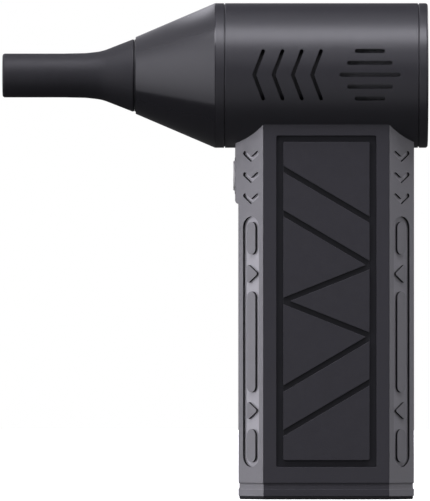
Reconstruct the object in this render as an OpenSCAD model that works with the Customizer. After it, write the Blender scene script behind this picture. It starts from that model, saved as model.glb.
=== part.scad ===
// Cordless turbo air pump: a round fan barrel on a battery handle, with a pull-off tapered nozzle.
// Millimetres. Origin at the centre of the base's resting face, +Z up, nozzle towards -X,
// air intake towards +X, left side towards -Y.

/* [Handle] */
// Handle size from front to rear
handle_w = 54.8; // [53:0.1:58]
// Handle size from side to side
handle_t = 33; // [32.6:0.1:36]
// Leg of the 45 degree chamfer down each corner
handle_chamfer = 7.8; // [7:0.1:8.6]
// Wall of the front and rear faces
handle_wall = 2; // [1.8:0.1:2.2]
// Thickness of the rubber pad under the base
pad_h = 0.95; // [0.8:0.05:1.2]
// Height where the base cap ends and the handle starts
seam_z = 4.5; // [4.3:0.1:4.8]
// Height of the power button above the ground
button_z = 101; // [99:0.5:102]

/* [Barrel] */
// Height of the barrel axis above the ground
axis_z = 132.3; // [132:0.1:134]
// Outer radius of the barrel
barrel_r = 22.6; // [22.4:0.1:23]
// Wall of the barrel
barrel_wall = 2; // [1.8:0.1:2.1]
// Front end of the barrel along X
barrel_front = -31.6; // [-33:0.1:-31]
// Rear end of the barrel along X
barrel_rear = 28.7; // [28.5:0.1:29.5]

/* [Nozzle] */
// Front face of the nozzle cone along X
cone_front = -59.5; // [-61:0.1:-58]
// Radius of the cone's front face
cone_front_r = 12; // [11.8:0.1:13]
// Front end of the nozzle tip along X
tip_front = -101.1; // [-106:0.1:-98]
// Radius of the tip's round tube
tip_r = 6.85; // [6.7:0.05:7]
// Radius of the air hole through the tip
tip_bore_r = 5.2; // [4.8:0.1:5.4]

/* [Fan] */
// Number of impeller blades
blade_count = 11; // [7:1:13]
// Number of fixed guide vanes
vane_count = 9; // [5:1:11]

/* [Choice of piece] */
// Which sub-part to draw

/* [Hidden] */
$fn = 96;
tiny = 0.01;

// Handle outline and cavity
half_w = handle_w / 2;
half_t = handle_t / 2;
face_half = half_t - handle_chamfer;
panel_half = half_w - handle_chamfer;
panel_t = 2.2;
panel_in = half_t - panel_t;
side_wall = 1.8;
panel_peg_r = 1.5;
corner_wall = 2.2;
cav_x = half_w - handle_wall;
cav_y = panel_in - side_wall;
cav_c = cav_x + cav_y - (half_w + half_t - handle_chamfer - corner_wall * sqrt(2));
corner_x = half_w - handle_chamfer / 2;
corner_y = half_t - handle_chamfer / 2;
top_z = axis_z - 12;
fit = 0.05;
groove_depth = 0.3;
groove_low = 3.2;
groove_high = 5;
cap_top = seam_z - 0.3;
lip_top = seam_z + 1.5;

// Grip relief
pocket_half = 3.5;
pocket_z = [10.1, 88.2];
pocket_depth = 0.85;
boss_half = 1.85;
boss_h = 0.8;
boss_spans = [[11.6, 21.9], [33.4, 64.8], [76.35, 86.5]];
arrow_spans = [[24.6, 30.8], [67.1, 73.6]];
arrow_back = 1.8;
vee_top = 108.6;
vee_pitch = 6.6;
vee_half = 2.75;
vee_h = 1.85;
vee_r = 0.7;
vee_depth = 0.8;
grip_mid = 61.85;
frame_x = 15.6;
frame_z = [10.1, 113.4];
grip_x = 13.45;
grip_z = [12.3, 111.4];
grip_t = 1;
grip_peg_r = 1.4;
grip_peg_z = [grip_z[0] + 12, grip_mid, grip_z[1] - 12];
zig_w = 1.75;
zig_depth = 0.7;
zig_slope = 0.589;
zig_rise = [33.25, 19.45];
vee_line = [5.4, 0.397];

// Front bulge and power button
bulge_out = 1;
bulge_low = 92.2;
ring_r = 5.8;
ring_hole_r = 4.85;
ring_len = 2.4;
button_r = 4.7;
button_face = -29;
button_travel = 0.5;
flange_r = 5.5;
stem_r = 1.5;
switch_x = -22.6;
switch_board_x = -20.2;
switch_board_z = [93, 108];
switch_board_t = 1;
clip = [0.7, 4, 6];

// Screws
screw_r = 0.98;
pilot_r = 1;
clear_r = 1.2;
head_r = 2.1;
head_h = 1.4;
head_hole_r = 2.3;
post_r = 2.5;
handle_screw_at = [[-12, 10.5], [12, 10.5], [-15, 87], [15, 87], [0, 105]];
base_post = [21.3, 6];
base_post_r = 2.2;
base_post_top = 13;
base_rib_t = 1.4;
neck_x = 9;
neck_z = 96;
neck_t = 2.5;
neck_boss_r = 3.2;
ledge_x = [4, 12];
ledge_in = 9.5;
ledge_t = 1.2;
board_screw_z = [48, 70];
board_screw_y = 6;
board_post_r = 1.8;
board_pilot_r = 0.8;
board_clear_r = 1;
board_screw_scale = 0.78;

// Battery, boards and wires
cell_r = 9.2;
cell_x = 9.6;
cell_len = 65;
cell_z = 15.3;
holder_r = 10.4;
holder_x = 9.4;
holder_h = 4.4;
cup_r = 9.35;
link_t = 0.3;
board_x = 20.2;
board_t = 1.2;
board_half = 8;
board_z = [16, 96];
usb_z = 22;
usb_half = [4.47, 1.63];
lens_z = [34, 37.5, 41];
lens_r = 0.9;
wire_r = 0.65;
motor_wire_x = -17;
motor_wire_y = [-1.6, 0, 1.6];
motor_wire_z = 92.5;

// Slots in the barrel's sides
chevron_x = -22.5;
chevron_pitch = 6;
chevron_arm = [2.8, 7.4];
chevron_r = 0.58;
slot_x = 13.5;
slot_half = 8.85;
slot_step = 2.4;
slot_pitch = 3.7;
slot_r = 0.65;
slot_cut = 6;

// Air way and motor
bore_r = barrel_r - barrel_wall;
duct_r = 19.4;
duct_in = 17.8;
duct_x = [-25.2, 26];
pod_r = 11;
pod_in = 9.6;
pod_x = [-12, 12.5];
shaft_r = 1.5;
shaft_x = [-11.4, 23.8];
bearing_r = 4;
bearing_w = 3;
magnet_r = 4.6;
core_x = [-4, 5];
fan_x = [13.4, 22.3];
fan_r = 17.4;
fan_hub = [9, 5.5];
plug_r = 20.4;
plug_rear = -25.6;
cone_rear = barrel_front - 0.25;
cone_wall = 1.8;
spigot_r = 7.2;
spigot_bore = 5.6;
spigot_front = cone_front - 6.9;
flare_x = cone_front - 0.4;
flare_r = 11.5;
flare_slope = 0.39;
flare_len = 10.1;
socket_r = 7.4;
socket_front = flare_x - 6.9;
bezel_x = [barrel_rear + 0.25, barrel_rear + 3.05];
bezel_in = 19;
grille_r = 19.55;
grille_in = 17.9;
grille_pitch = 4;
grille_bar = 1.1;
screen_x = 27;
screen_r = 19.5;
screen_in = 18.2;
screen_pitch = 3.6;
screen_wire = 0.5;

// O-rings on the spigot and on the plug: radius, cord radius and place along X
tip_ring = [6.85, 0.38, cone_front - 3.8];
cone_ring = [19.98, 0.42, plug_rear - 2.6];
ring_groove_w = 1.2;

// ---------- helpers ----------

function octagon(x, y, c) = [[x, y - c], [x - c, y], [c - x, y], [-x, y - c],
  [-x, c - y], [c - x, -y], [x - c, -y], [x, c - y]];

module outline_prism(inset, z0, z1)
  translate([0, 0, z0])
    linear_extrude(z1 - z0)
      polygon(octagon(half_w - inset, half_t - inset, handle_chamfer - inset * (2 - sqrt(2))));

module cavity_prism(inset, z0, z1)
  translate([0, 0, z0])
    linear_extrude(z1 - z0)
      polygon(octagon(cav_x - inset, cav_y - inset, cav_c - inset * (2 - sqrt(2))));

// A box given by its corners
module box(low, high)
  translate(low)
    cube(high - low);

// A cylinder along +X, +Y or +Z from a start point
module rod_x(p, r, len)
  translate(p)
    rotate([0, 90, 0])
      cylinder(r = r, h = len);

module rod_y(p, r, len)
  translate(p)
    rotate([-90, 0, 0])
      cylinder(r = r, h = len);

module rod_z(p, r, len)
  translate(p)
    cylinder(r = r, h = len);

// A closed outline of [radius, x] points turned about the barrel axis
module turned(outline)
  translate([0, 0, axis_z])
    rotate([0, 90, 0])
      rotate_extrude()
        polygon(outline);

// A tube about the barrel axis
module tube_x(r_out, r_in, x0, x1)
  turned([[r_in, x0], [r_out, x0], [r_out, x1], [r_in, x1]]);

// An O-ring about the barrel axis, and the groove it lies in
module o_ring(ring)
  translate([ring[2], 0, axis_z])
    rotate([0, 90, 0])
      rotate_extrude()
        translate([ring[0], 0])
          circle(ring[1], $fn = 24);

module o_ring_groove(ring, out_r)
  tube_x(out_r, ring[0] - ring[1] - 0.04, ring[2] - ring_groove_w / 2, ring[2] + ring_groove_w / 2);

// A straight run in the plane, from a to b, with its round end at b; the run is a hair narrower
// than the end so that no edges are tangent
module run(a, b, r) {
  d = b - a;
  translate(b)
    circle(r, $fn = 24);
  translate(a)
    rotate(atan2(d[1], d[0]))
      translate([0, 0.02 - r])
        square([norm(d), 2 * r - 0.04]);
}

// A straight stroke with round ends, in the plane
module stroke(a, b, r) {
  translate(a)
    circle(r, $fn = 24);
  run(a, b, r);
}

// A flat shape in X and Z, pushed through the left side between two depths
module from_left(y0, y1)
  translate([0, y1, 0])
    rotate([90, 0, 0])
      linear_extrude(y1 - y0)
        children();

// A flat shape on the rear left corner face: X across towards the rear, Y up
module on_corner(depth, proud = 0)
  translate([corner_x, -corner_y, 0])
    rotate([90, 0, 45])
      translate([0, 0, -depth])
        linear_extrude(depth + proud)
          children();

module all_corners()
  for (a = [0, 1], b = [0, 1])
    mirror([a, 0, 0])
      mirror([0, b, 0])
        children();

// The same piece at the front and at the rear
module both_ends()
  for (a = [0, 1])
    mirror([a, 0, 0])
      children();

// The same piece on the right side
module right_side()
  mirror([0, 1, 0])
    children();

// A wire of round section through a list of points
module wire(points, r) {
  for (i = [0 : len(points) - 2]) {
    d = points[i + 1] - points[i];
    translate(points[i])
      rotate([0, acos(d[2] / norm(d)), atan2(d[1], d[0])])
        cylinder(r = r, h = norm(d), $fn = 24);
  }
  for (i = [1 : len(points) - 2])
    translate(points[i])
      sphere(r, $fn = 24);
}

// A pan head screw pointing along +Z with its head below the origin
module screw(len) {
  difference() {
    translate([0, 0, -head_h])
      cylinder(r = head_r, h = head_h);
    for (a = [0, 90])
      rotate(a)
        translate([-head_r * 0.6, -0.3, -head_h - tiny])
          cube([head_r * 1.2, 0.6, 0.6]);
  }
  translate([0, 0, -tiny])
    cylinder(r = screw_r, h = len + tiny);
}

// ---------- nozzle ----------

module nozzle_tip() {
  waist_r = flare_r - flare_slope * flare_len;
  edge = 1;
  tube_rear = flare_x - 22.1;
  swell = [0.15, 7];
  color("#48474c")
    turned(concat(
      [[tip_bore_r, tip_front]],
      [for (a = [0 : 15 : 90])
        [tip_r - edge + edge * sin(a), tip_front + edge - edge * cos(a)]],
      [[tip_r, tube_rear], [tip_r + swell[0], tube_rear + swell[1]], [waist_r, flare_x - flare_len],
       [flare_r, flare_x], [socket_r, flare_x], [socket_r, socket_front],
       [tip_bore_r, socket_front]]));
}

module tip_seal() {
  color("#16161a")
    o_ring(tip_ring);
}

module nozzle_cone() {
  edge = 0.5;
  collar = 2.85;
  inner_r = plug_r - cone_wall;
  front_in = cone_front + 1.5;
  color("#47464b")
    difference() {
      turned([[spigot_bore, spigot_front], [spigot_r, spigot_front], [spigot_r, cone_front],
        [cone_front_r - edge, cone_front], [cone_front_r, cone_front + edge],
        [barrel_r, cone_rear - collar], [barrel_r, cone_rear], [plug_r, cone_rear],
        [plug_r, plug_rear], [inner_r, plug_rear], [inner_r, cone_rear - cone_wall - 0.2],
        [cone_front_r - cone_wall, front_in], [spigot_bore, front_in]]);
      o_ring_groove(tip_ring, spigot_r + 1);
      o_ring_groove(cone_ring, plug_r + 1);
    }
}

module cone_seal() {
  color("#16161a")
    o_ring(cone_ring);
}

// ---------- barrel ----------

// A straight run of slot through the left side of the barrel, from a to b in [x, z],
// with its round end at b; the run is a hair narrower than the end so that no faces are tangent
module slot_run(a, b, r) {
  d = b - a;
  slot_end(b, r);
  translate([a[0], -barrel_r - 1, a[1]])
    rotate([0, -atan2(d[1], d[0]), 0])
      translate([0, 0, 0.02 - r])
        cube([norm(d), slot_cut, 2 * r - 0.04]);
}

module slot_end(p, r)
  rod_y([p[0], -barrel_r - 1, p[1]], r, slot_cut);

module barrel_slots() {
  for (i = [0 : 3]) {
    apex = [chevron_x + chevron_pitch * i, axis_z];
    slot_end(apex, chevron_r);
    for (s = [-1, 1])
      slot_run(apex, apex + [chevron_arm[0], s * chevron_arm[1]], chevron_r);
  }
  for (i = [-2 : 2]) {
    half = slot_half - slot_step * abs(i);
    z = axis_z + slot_pitch * i;
    for (s = [-1, 1])
      slot_run([slot_x, z], [slot_x + s * half, z], slot_r);
  }
}

module barrel_shell() {
  boss_z = neck_z + neck_t;
  boss_top = axis_z - barrel_r + 1;
  pilot_len = 10;
  wire_gap = [2.5, 4, 3];
  color("#48474d")
    difference() {
      union() {
        tube_x(barrel_r, bore_r, barrel_front, barrel_rear);
        for (s = [-1, 1])
          rod_z([neck_x * s, 0, boss_z], neck_boss_r, boss_top - boss_z);
      }
      for (s = [-1, 1])
        rod_z([neck_x * s, 0, boss_z - 1], pilot_r, pilot_len + 1);
      for (s = [0, 1])
        mirror([0, s, 0])
          barrel_slots();
      box([motor_wire_x - wire_gap[0], -wire_gap[1], boss_top - wire_gap[2]],
        [motor_wire_x + wire_gap[0], wire_gap[1], boss_top + wire_gap[2]]);
    }
}

module rear_bezel() {
  edge = 0.7;
  skirt_r = [19.65, 20.5];
  skirt_x = 24.5;
  color("#3c3b41")
    turned([[bezel_in, bezel_x[0]], [skirt_r[0], bezel_x[0]], [skirt_r[0], skirt_x],
      [skirt_r[1], skirt_x], [skirt_r[1], bezel_x[0]], [barrel_r, bezel_x[0]],
      [barrel_r, bezel_x[1] - edge], [barrel_r - edge, bezel_x[1]], [bezel_in, bezel_x[1]]]);
}

module intake_grille() {
  x0 = bezel_x[0] - 0.15;
  x1 = x0 + 1.8;
  hub_r = 3;
  spoke = [1.5, 1.2];
  color("#26262a") {
    tube_x(grille_r, grille_in, x0 - 1, x0);
    tube_x(bezel_in - 0.1, grille_in, x0 - tiny, x1);
    for (i = [0 : 3])
      tube_x(hub_r + grille_pitch * i + grille_bar, hub_r + grille_pitch * i, x0, x1);
    turned([[0, x0], [hub_r, x0], [hub_r, x1], [hub_r - 1, x1 + 0.5], [0, x1 + 0.5]]);
    for (i = [0 : 5])
      translate([0, 0, axis_z])
        rotate([60 * i, 0, 0])
          box([x0, -spoke[1] / 2, hub_r - 1], [x0 + spoke[0], spoke[1] / 2, grille_in + 0.3]);
  }
}

module intake_screen() {
  half = screen_wire / 2;
  color("#8c8c90") {
    tube_x(screen_r, screen_in, screen_x, screen_x + screen_wire);
    translate([screen_x, 0, axis_z])
      intersection() {
        rod_x([0, 0, 0], screen_in + 0.4, screen_wire);
        union()
          for (i = [-5 : 5], turn = [0, 90])
            rotate([turn, 0, 0])
              box([0, i * screen_pitch - half, -screen_r], [0.3, i * screen_pitch + half, screen_r]);
      }
  }
}

// ---------- fan and motor ----------

module fan_duct() {
  vane_x = [-9, 7];
  vane_t = 1;
  vane_tilt = 12;
  vane_mid = (vane_x[0] + vane_x[1]) / 2;
  vane_half = (vane_x[1] - vane_x[0]) / 2;
  wire_gap = [1.5, 3.2];
  color("#1d1d20")
    difference() {
      union() {
        tube_x(duct_r, duct_in, duct_x[0], duct_x[1]);
        tube_x(pod_r, pod_in, pod_x[0], pod_x[1]);
        for (i = [0 : vane_count - 1])
          translate([vane_mid, 0, axis_z])
            rotate([360 * i / vane_count, 0, 0])
              rotate([0, 0, vane_tilt])
                box([-vane_half, -vane_t / 2, pod_r - 0.6], [vane_half, vane_t / 2, duct_in + 0.4]);
      }
      box([motor_wire_x - wire_gap[0], -wire_gap[1], axis_z - duct_r - 1],
        [motor_wire_x + wire_gap[0], wire_gap[1], axis_z - duct_in + 1.5]);
    }
}

module duct_gaskets() {
  width = 1.2;
  color("#16161a")
    for (x = [-24.9, 23.2])
      tube_x(bore_r - fit, duct_r + fit, x, x + width);
}

module lead_grommet() {
  bottom = axis_z - duct_r;
  color("#16161a")
    difference() {
      box([motor_wire_x - 1.4, -3.1, bottom], [motor_wire_x + 1.4, 3.1, bottom + 2.4]);
      for (y = motor_wire_y)
        rod_z([motor_wire_x, y, bottom - 1], wire_r + fit, 5);
    }
}

module tail_cone() {
  nose_x = -24;
  wall = 1.2;
  color("#1d1d20")
    difference() {
      turned(concat([[pod_r - wall, pod_x[0] - fit], [pod_r, pod_x[0] - fit]],
        [for (a = [15 : 15 : 75]) [pod_r * cos(a), pod_x[0] + (nose_x - pod_x[0]) * sin(a)]],
        [[0, nose_x], [0, nose_x + wall]],
        [for (a = [75 : -15 : 15])
          [(pod_r - wall) * cos(a), pod_x[0] + (nose_x + wall - pod_x[0]) * sin(a)]]));
      box([motor_wire_x - 1, -2.6, axis_z - pod_r], [motor_wire_x + 1, 2.6, axis_z - 4]);
    }
}

module motor_core() {
  bore = 5;
  slot = [7.2, 1.5];
  color("#77787c")
    difference() {
      tube_x(pod_in - fit, bore, core_x[0], core_x[1]);
      for (i = [0 : 5])
        translate([0, 0, axis_z])
          rotate([60 * i + 30, 0, 0])
            rod_x([core_x[0] - 1, 0, slot[0]], slot[1], core_x[1] - core_x[0] + 2);
    }
}

module motor_windings() {
  end_turn = 2.4;
  coil_half = 2.4;
  coil_r = [5.4, 8];
  color("#a8562a")
    for (i = [0 : 5], x = [core_x[0] - end_turn - fit, core_x[1] + fit])
      translate([0, 0, axis_z])
        rotate([60 * i, 0, 0])
          box([x, -coil_half, coil_r[0]], [x + end_turn, coil_half, coil_r[1]]);
}

module motor_end(x0) {
  width = 3.5;
  vent = [6.8, 1.4];
  color("#9a9a9e")
    difference() {
      tube_x(pod_in - fit, bearing_r + 0.02, x0, x0 + width);
      for (i = [0 : 2])
        translate([0, 0, axis_z])
          rotate([120 * i + 60, 0, 0])
            rod_x([x0 - 1, 0, vent[0]], vent[1], width + 2);
    }
}

module motor_end_front()
  motor_end(-11.5);

module motor_end_rear()
  motor_end(8.4);

module bearing(x0)
  color("#b9babd")
    tube_x(bearing_r, shaft_r + 0.03, x0, x0 + bearing_w);

module bearing_front()
  bearing(-11.2);

module bearing_rear()
  bearing(8.7);

module motor_shaft() {
  color("#b9babd")
    rod_x([shaft_x[0], 0, axis_z], shaft_r, shaft_x[1] - shaft_x[0]);
}

module rotor_magnet() {
  color("#5a5b60")
    tube_x(magnet_r, shaft_r + 0.02, core_x[0] + 0.5, core_x[1] - 0.5);
}

module impeller() {
  tilt = 38;
  blade_t = 0.9;
  mid = (fan_x[0] + fan_x[1]) / 2;
  chord = 9.6;
  color("#d8d8dc") {
    turned([[shaft_r + 0.02, fan_x[0]], [fan_hub[0], fan_x[0]], [fan_hub[1], fan_x[1]],
      [shaft_r + 0.02, fan_x[1]]]);
    intersection() {
      tube_x(fan_r, fan_hub[1] - 1, fan_x[0], fan_x[1]);
      union()
        for (i = [0 : blade_count - 1])
          translate([mid, 0, axis_z])
            rotate([360 * i / blade_count, 0, 0])
              rotate([0, 0, tilt])
                box([-chord / 2, -blade_t / 2, fan_hub[1] - 1], [chord / 2, blade_t / 2, fan_r + 1]);
    }
  }
}

module impeller_nut() {
  color("#c8a24a")
    turned([[shaft_r + 0.02, fan_x[1] + fit], [2.8, fan_x[1] + fit], [2.8, 24.2], [1.6, 25.2],
      [0, 25.2], [0, 23.9], [shaft_r + 0.02, 23.9]]);
}

// ---------- handle ----------

// The raised and sunk shapes on one corner face
module corner_pocket() {
  r = pocket_half;
  on_corner(pocket_depth, 1)
    stroke([0, pocket_z[0] + r], [0, pocket_z[1] - r], r);
  for (i = [0 : 2])
    on_corner(vee_depth, 1) {
      tip = [0, vee_top - vee_pitch * i - vee_h - vee_r];
      translate(tip)
        circle(vee_r, $fn = 24);
      for (s = [-1, 1])
        run(tip, tip + [vee_half * s, vee_h], vee_r);
    }
}

module corner_bosses() {
  floor_h = pocket_depth - boss_h;
  for (span = boss_spans)
    on_corner(pocket_depth + 0.3, -floor_h)
      stroke([0, span[0] + boss_half], [0, span[1] - boss_half], boss_half);
  for (span = arrow_spans) {
    half = (span[1] - span[0]) / 2;
    on_corner(pocket_depth + 0.3, -floor_h)
      polygon([[arrow_back, span[0]], [arrow_back, span[1]], [arrow_back - half * 1.4, span[0] + half]]);
  }
}

// The thicker front that carries the power button, with a round lower end
module front_bulge() {
  x0 = -half_w - bulge_out;
  intersection() {
    translate([0, 0, bulge_low])
      linear_extrude(top_z - bulge_low)
        polygon([[x0, bulge_out - face_half], [-half_w, -face_half], [-cav_x, -face_half],
          [-cav_x, face_half], [-half_w, face_half], [x0, face_half - bulge_out]]);
    union() {
      rod_y([-half_w, -half_t, bulge_low + bulge_out], bulge_out, handle_t);
      box([x0, -half_t, bulge_low + bulge_out], [-cav_x, half_t, top_z]);
    }
  }
}

// The left half of the handle; the right half is its mirror image
module handle_shell(is_left) {
  difference() {
    union() {
      difference() {
        union() {
          outline_prism(groove_depth, seam_z, groove_high);
          outline_prism(0, groove_high, top_z);
          front_bulge();
        }
        cavity_prism(0, seam_z - 1, top_z + 1);
        box([-panel_half, -half_t - 1, seam_z - 1], [panel_half, -panel_in, top_z + 1]);
        all_corners()
          corner_pocket();
      }
      all_corners()
        corner_bosses();
      for (p = handle_screw_at)
        rod_y([p[0], -cav_y - 0.1, p[1]], post_r, cav_y + 0.1);
      both_ends() {
        rod_z([base_post[0], -base_post[1], seam_z], base_post_r, base_post_top - seam_z);
        box([base_post[0] - 0.3, -base_post[1] - base_rib_t / 2, lip_top + 0.3],
          [cav_x + 0.2, -base_post[1] + base_rib_t / 2, base_post_top]);
        for (z = [neck_z - ledge_t - 0.1, neck_z + neck_t + 0.1])
          box([ledge_x[0], -cav_y - 0.1, z], [ledge_x[1], -ledge_in, z + ledge_t]);
      }
      for (x = [switch_board_x - clip[0] - 0.1, switch_board_x + switch_board_t + 0.1])
        box([x, -cav_y - 0.1, switch_board_z[0]], [x + clip[0], -clip[2], switch_board_z[0] + clip[1]]);
      if (!is_left)
        for (z = board_screw_z)
          rod_x([board_x + board_t, -board_screw_y, z], board_post_r, cav_x - board_x - board_t + 0.3);
    }
    box([-half_w - 5, 0, 0], [half_w + 5, half_t + 5, top_z + 5]);
    rod_x([-40, 0, axis_z], barrel_r + fit, 80);
    rod_x([-half_w - 5, 0, button_z], ring_r + fit, half_w + 5 - cav_x + 2);
    from_rear(usb_half[0] + 0.2, usb_half[1] + 0.2, usb_z, cav_x - 1, half_w + 1);
    for (z = lens_z)
      rod_x([cav_x - 1, 0, z], lens_r + fit, handle_wall + 2);
    for (s = [-1, 1])
      rod_z([base_post[0] * s, -base_post[1], seam_z - 1], pilot_r, 7.5);
    for (p = panel_pegs())
      rod_y([p[0], -panel_in - 1, p[1]], panel_peg_r + fit, side_wall + 2);
    if (is_left)
      for (p = handle_screw_at) {
        rod_y([p[0], -panel_in - 1, p[1]], head_hole_r, 1 + head_h + 0.1);
        rod_y([p[0], -panel_in, p[1]], clear_r, panel_in + 1);
      }
    else {
      for (p = handle_screw_at)
        rod_y([p[0], -9, p[1]], pilot_r, 10);
      for (z = board_screw_z)
        rod_x([board_x, -board_screw_y, z], board_pilot_r, 4.5);
    }
  }
}

function panel_pegs() = [for (x = [-6, 6], z = [25, 60, 95]) [x, z]];

module handle_left() {
  color("#84838a")
    handle_shell(true);
}

module handle_right() {
  color("#84838a")
    right_side()
      handle_shell(false);
}

module handle_screws() {
  color("#b9babd")
    for (p = handle_screw_at)
      translate([p[0], -panel_in + head_h + 0.1, p[1]])
        rotate([-90, 0, 0])
          screw(20.5);
}

module side_panel() {
  color("#343338")
    difference() {
      union() {
        box([-panel_half + fit, -half_t + groove_depth, seam_z],
          [panel_half - fit, -panel_in, groove_high]);
        box([-panel_half + fit, -half_t, groove_high], [panel_half - fit, -panel_in, top_z]);
        for (p = panel_pegs())
          rod_y([p[0], -panel_in - 0.5, p[1]], panel_peg_r, 2);
      }
      rod_x([-40, 0, axis_z], barrel_r + fit, 80);
      box([-frame_x, -half_t - 1, frame_z[0]], [frame_x, -half_t + grip_t, frame_z[1]]);
      for (z = grip_peg_z)
        rod_y([0, -half_t, z], grip_peg_r + fit, 2 * panel_t);
    }
}

module side_panel_left()
  side_panel();

module side_panel_right()
  right_side()
    side_panel();

// The grooves in the grip, as flat strokes: two that fall towards the rear and one that rises,
// and the mirror image of all three below the grip's middle
module grip_lines() {
  end = grip_x + 2;
  for (s = [-1, 1]) {
    for (rise = zig_rise)
      stroke([-end, grip_mid + s * (rise + zig_slope * end)],
        [end, grip_mid + s * (rise - zig_slope * end)], zig_w / 2);
    stroke([-end, grip_mid + s * (vee_line[0] - vee_line[1] * end)],
      [end, grip_mid + s * (vee_line[0] + vee_line[1] * end)], zig_w / 2);
  }
}

module grip_pad() {
  color("#343338") {
    difference() {
      box([-grip_x, -half_t, grip_z[0]], [grip_x, -half_t + grip_t, grip_z[1]]);
      from_left(-half_t - 1, -half_t + zig_depth)
        grip_lines();
    }
    for (z = grip_peg_z)
      rod_y([0, -half_t + zig_depth + 0.1, z], grip_peg_r, grip_t - zig_depth + 0.9);
  }
}

module grip_pad_left()
  grip_pad();

module grip_pad_right()
  right_side()
    grip_pad();

module neck_frame() {
  color("#d0d0d2")
    difference() {
      box([-13.5, -cav_y + 0.2, neck_z], [17, cav_y - 0.2, neck_z + neck_t]);
      for (s = [-1, 1])
        rod_z([neck_x * s, 0, neck_z - 1], clear_r, neck_t + 2);
      for (s = [-1, 1])
        box([-3.5, s * 5 - 2.5, neck_z - 1], [3.5, s * 5 + 2.5, neck_z + neck_t + 1]);
    }
}

module neck_screws() {
  color("#b9babd")
    for (s = [-1, 1])
      translate([neck_x * s, 0, neck_z])
        screw(10);
}

// ---------- power button ----------

module button_ring() {
  edge = 0.15;
  front = -half_w - bulge_out - edge;
  color("#26262a")
    difference() {
      rod_x([front, 0, button_z], ring_r, ring_len);
      rod_x([front - 1, 0, button_z], ring_hole_r, ring_len + 2);
    }
}

module power_button() {
  flange_x = -25.7;
  color("#c4c4c8") {
    rod_x([button_face, 0, button_z], button_r, flange_x - button_face + tiny);
    rod_x([flange_x, 0, button_z], flange_r, 0.9);
    rod_x([flange_x, 0, button_z], stem_r, switch_x - 0.5 - button_travel - flange_x);
  }
}

module button_switch() {
  color("#2a2a2e") {
    box([switch_x, -3, button_z - 3], [switch_board_x, 3, button_z + 3]);
    rod_x([switch_x - 0.4, 0, button_z], stem_r, 0.5);
  }
}

module switch_board() {
  color("#1f5a38")
    box([switch_board_x, -7, switch_board_z[0]], [switch_board_x + switch_board_t, 7, switch_board_z[1]]);
}

// ---------- electronics ----------

module control_board() {
  color("#1f5a38")
    difference() {
      box([board_x, -board_half, board_z[0]], [board_x + board_t, board_half, board_z[1]]);
      for (z = board_screw_z)
        rod_x([board_x - 1, board_screw_y, z], board_clear_r, board_t + 2);
    }
}

module board_parts() {
  face = board_x + board_t;
  color("#26262a") {
    for (z = [54, 61, 78, 85])
      box([face, -6.5, z], [face + 1.4, -1.5, z + 5.5]);
    box([face, -1, 60], [face + 3.2, 3.6, 66]);
    box([face, -3, 44], [face + 1.2, 3, 50]);
    for (z = [76, 86])
      rod_x([face, 4, z], 3, 3.4);
    for (z = lens_z)
      box([face, -0.8, z - 0.8], [face + 0.8, 0.8, z + 0.8]);
  }
}

module board_screws() {
  color("#b9babd")
    for (z = board_screw_z)
      translate([board_x, board_screw_y, z])
        rotate([0, 90, 0])
          scale(board_screw_scale)
            screw(5);
}

// A flat-sided round-ended block along +X through the rear wall
module from_rear(half_y, half_z, z, x0, x1) {
  for (s = [-1, 1])
    rod_x([x0, s * (half_y - half_z), z], half_z, x1 - x0);
  box([x0, half_z - half_y, z - half_z], [x1, half_y - half_z, z + half_z]);
}

module usb_socket() {
  face = board_x + board_t;
  wall = 0.35;
  front = half_w - 0.3;
  color("#b9babd") {
    difference() {
      from_rear(usb_half[0], usb_half[1], usb_z, face, front);
      from_rear(usb_half[0] - wall, usb_half[1] - wall, usb_z, face + 1, front + 1);
    }
    box([face + 0.9, -3.2, usb_z - 0.35], [front - 0.7, 3.2, usb_z + 0.35]);
  }
}

module indicator_lens() {
  color("#e8ecee") {
    box([cav_x - 1.6, -1.6, lens_z[0] - 1.6], [cav_x - fit, 1.6, lens_z[2] + 1.6]);
    for (z = lens_z)
      rod_x([cav_x - 0.5, 0, z], lens_r, handle_wall + 0.5);
  }
}

// ---------- battery ----------

module battery_cell(x) {
  button = 0.6;
  color("#2f7fc1")
    rod_z([x, 0, cell_z], cell_r, cell_len - button);
  color("#c8c8cc")
    rod_z([x, 0, cell_z + cell_len - button - tiny], 2.8, button + tiny);
}

module battery_cell_front()
  battery_cell(-cell_x);

module battery_cell_rear()
  battery_cell(cell_x);

module holder_block(z0) {
  for (s = [-1, 1])
    rod_z([holder_x * s, 0, z0], holder_r, holder_h);
  box([-holder_x, -holder_r, z0], [holder_x, holder_r, z0 + holder_h]);
}

module battery_holder_top() {
  z0 = cell_z + cell_len - 2;
  color("#3a3a3e")
    difference() {
      holder_block(z0);
      for (s = [-1, 1]) {
        rod_z([cell_x * s, 0, z0 - 1], cup_r, 3 + link_t + fit);
        box([cell_x * s - 2, -5, z0], [cell_x * s + 2, 5, z0 + 5]);
      }
    }
}

module battery_holder_bottom() {
  z0 = cell_z - link_t - 1.5;
  color("#3a3a3e")
    difference() {
      holder_block(z0);
      for (s = [-1, 1])
        rod_z([cell_x * s, 0, cell_z - link_t], cup_r, 5);
      box([-4, -3.2, cell_z - link_t], [4, 3.2, cell_z + 5]);
    }
}

module battery_links() {
  top = cell_z + cell_len;
  color("#c8c8cc") {
    box([-14, -3, cell_z - link_t], [14, 3, cell_z]);
    for (s = [-1, 1])
      box([s * cell_x - 4, -4, top], [s * cell_x + 4, 4, top + link_t]);
  }
}

module battery_leads() {
  z0 = cell_z + cell_len + link_t;
  z1 = 83.4;
  color("#a02828")
    for (s = [-1, 1])
      wire([[cell_x * s, 3 * s, z0], [cell_x * s, 3 * s, z1], [board_x - fit, 3 * s, z1]], wire_r);
}

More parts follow.
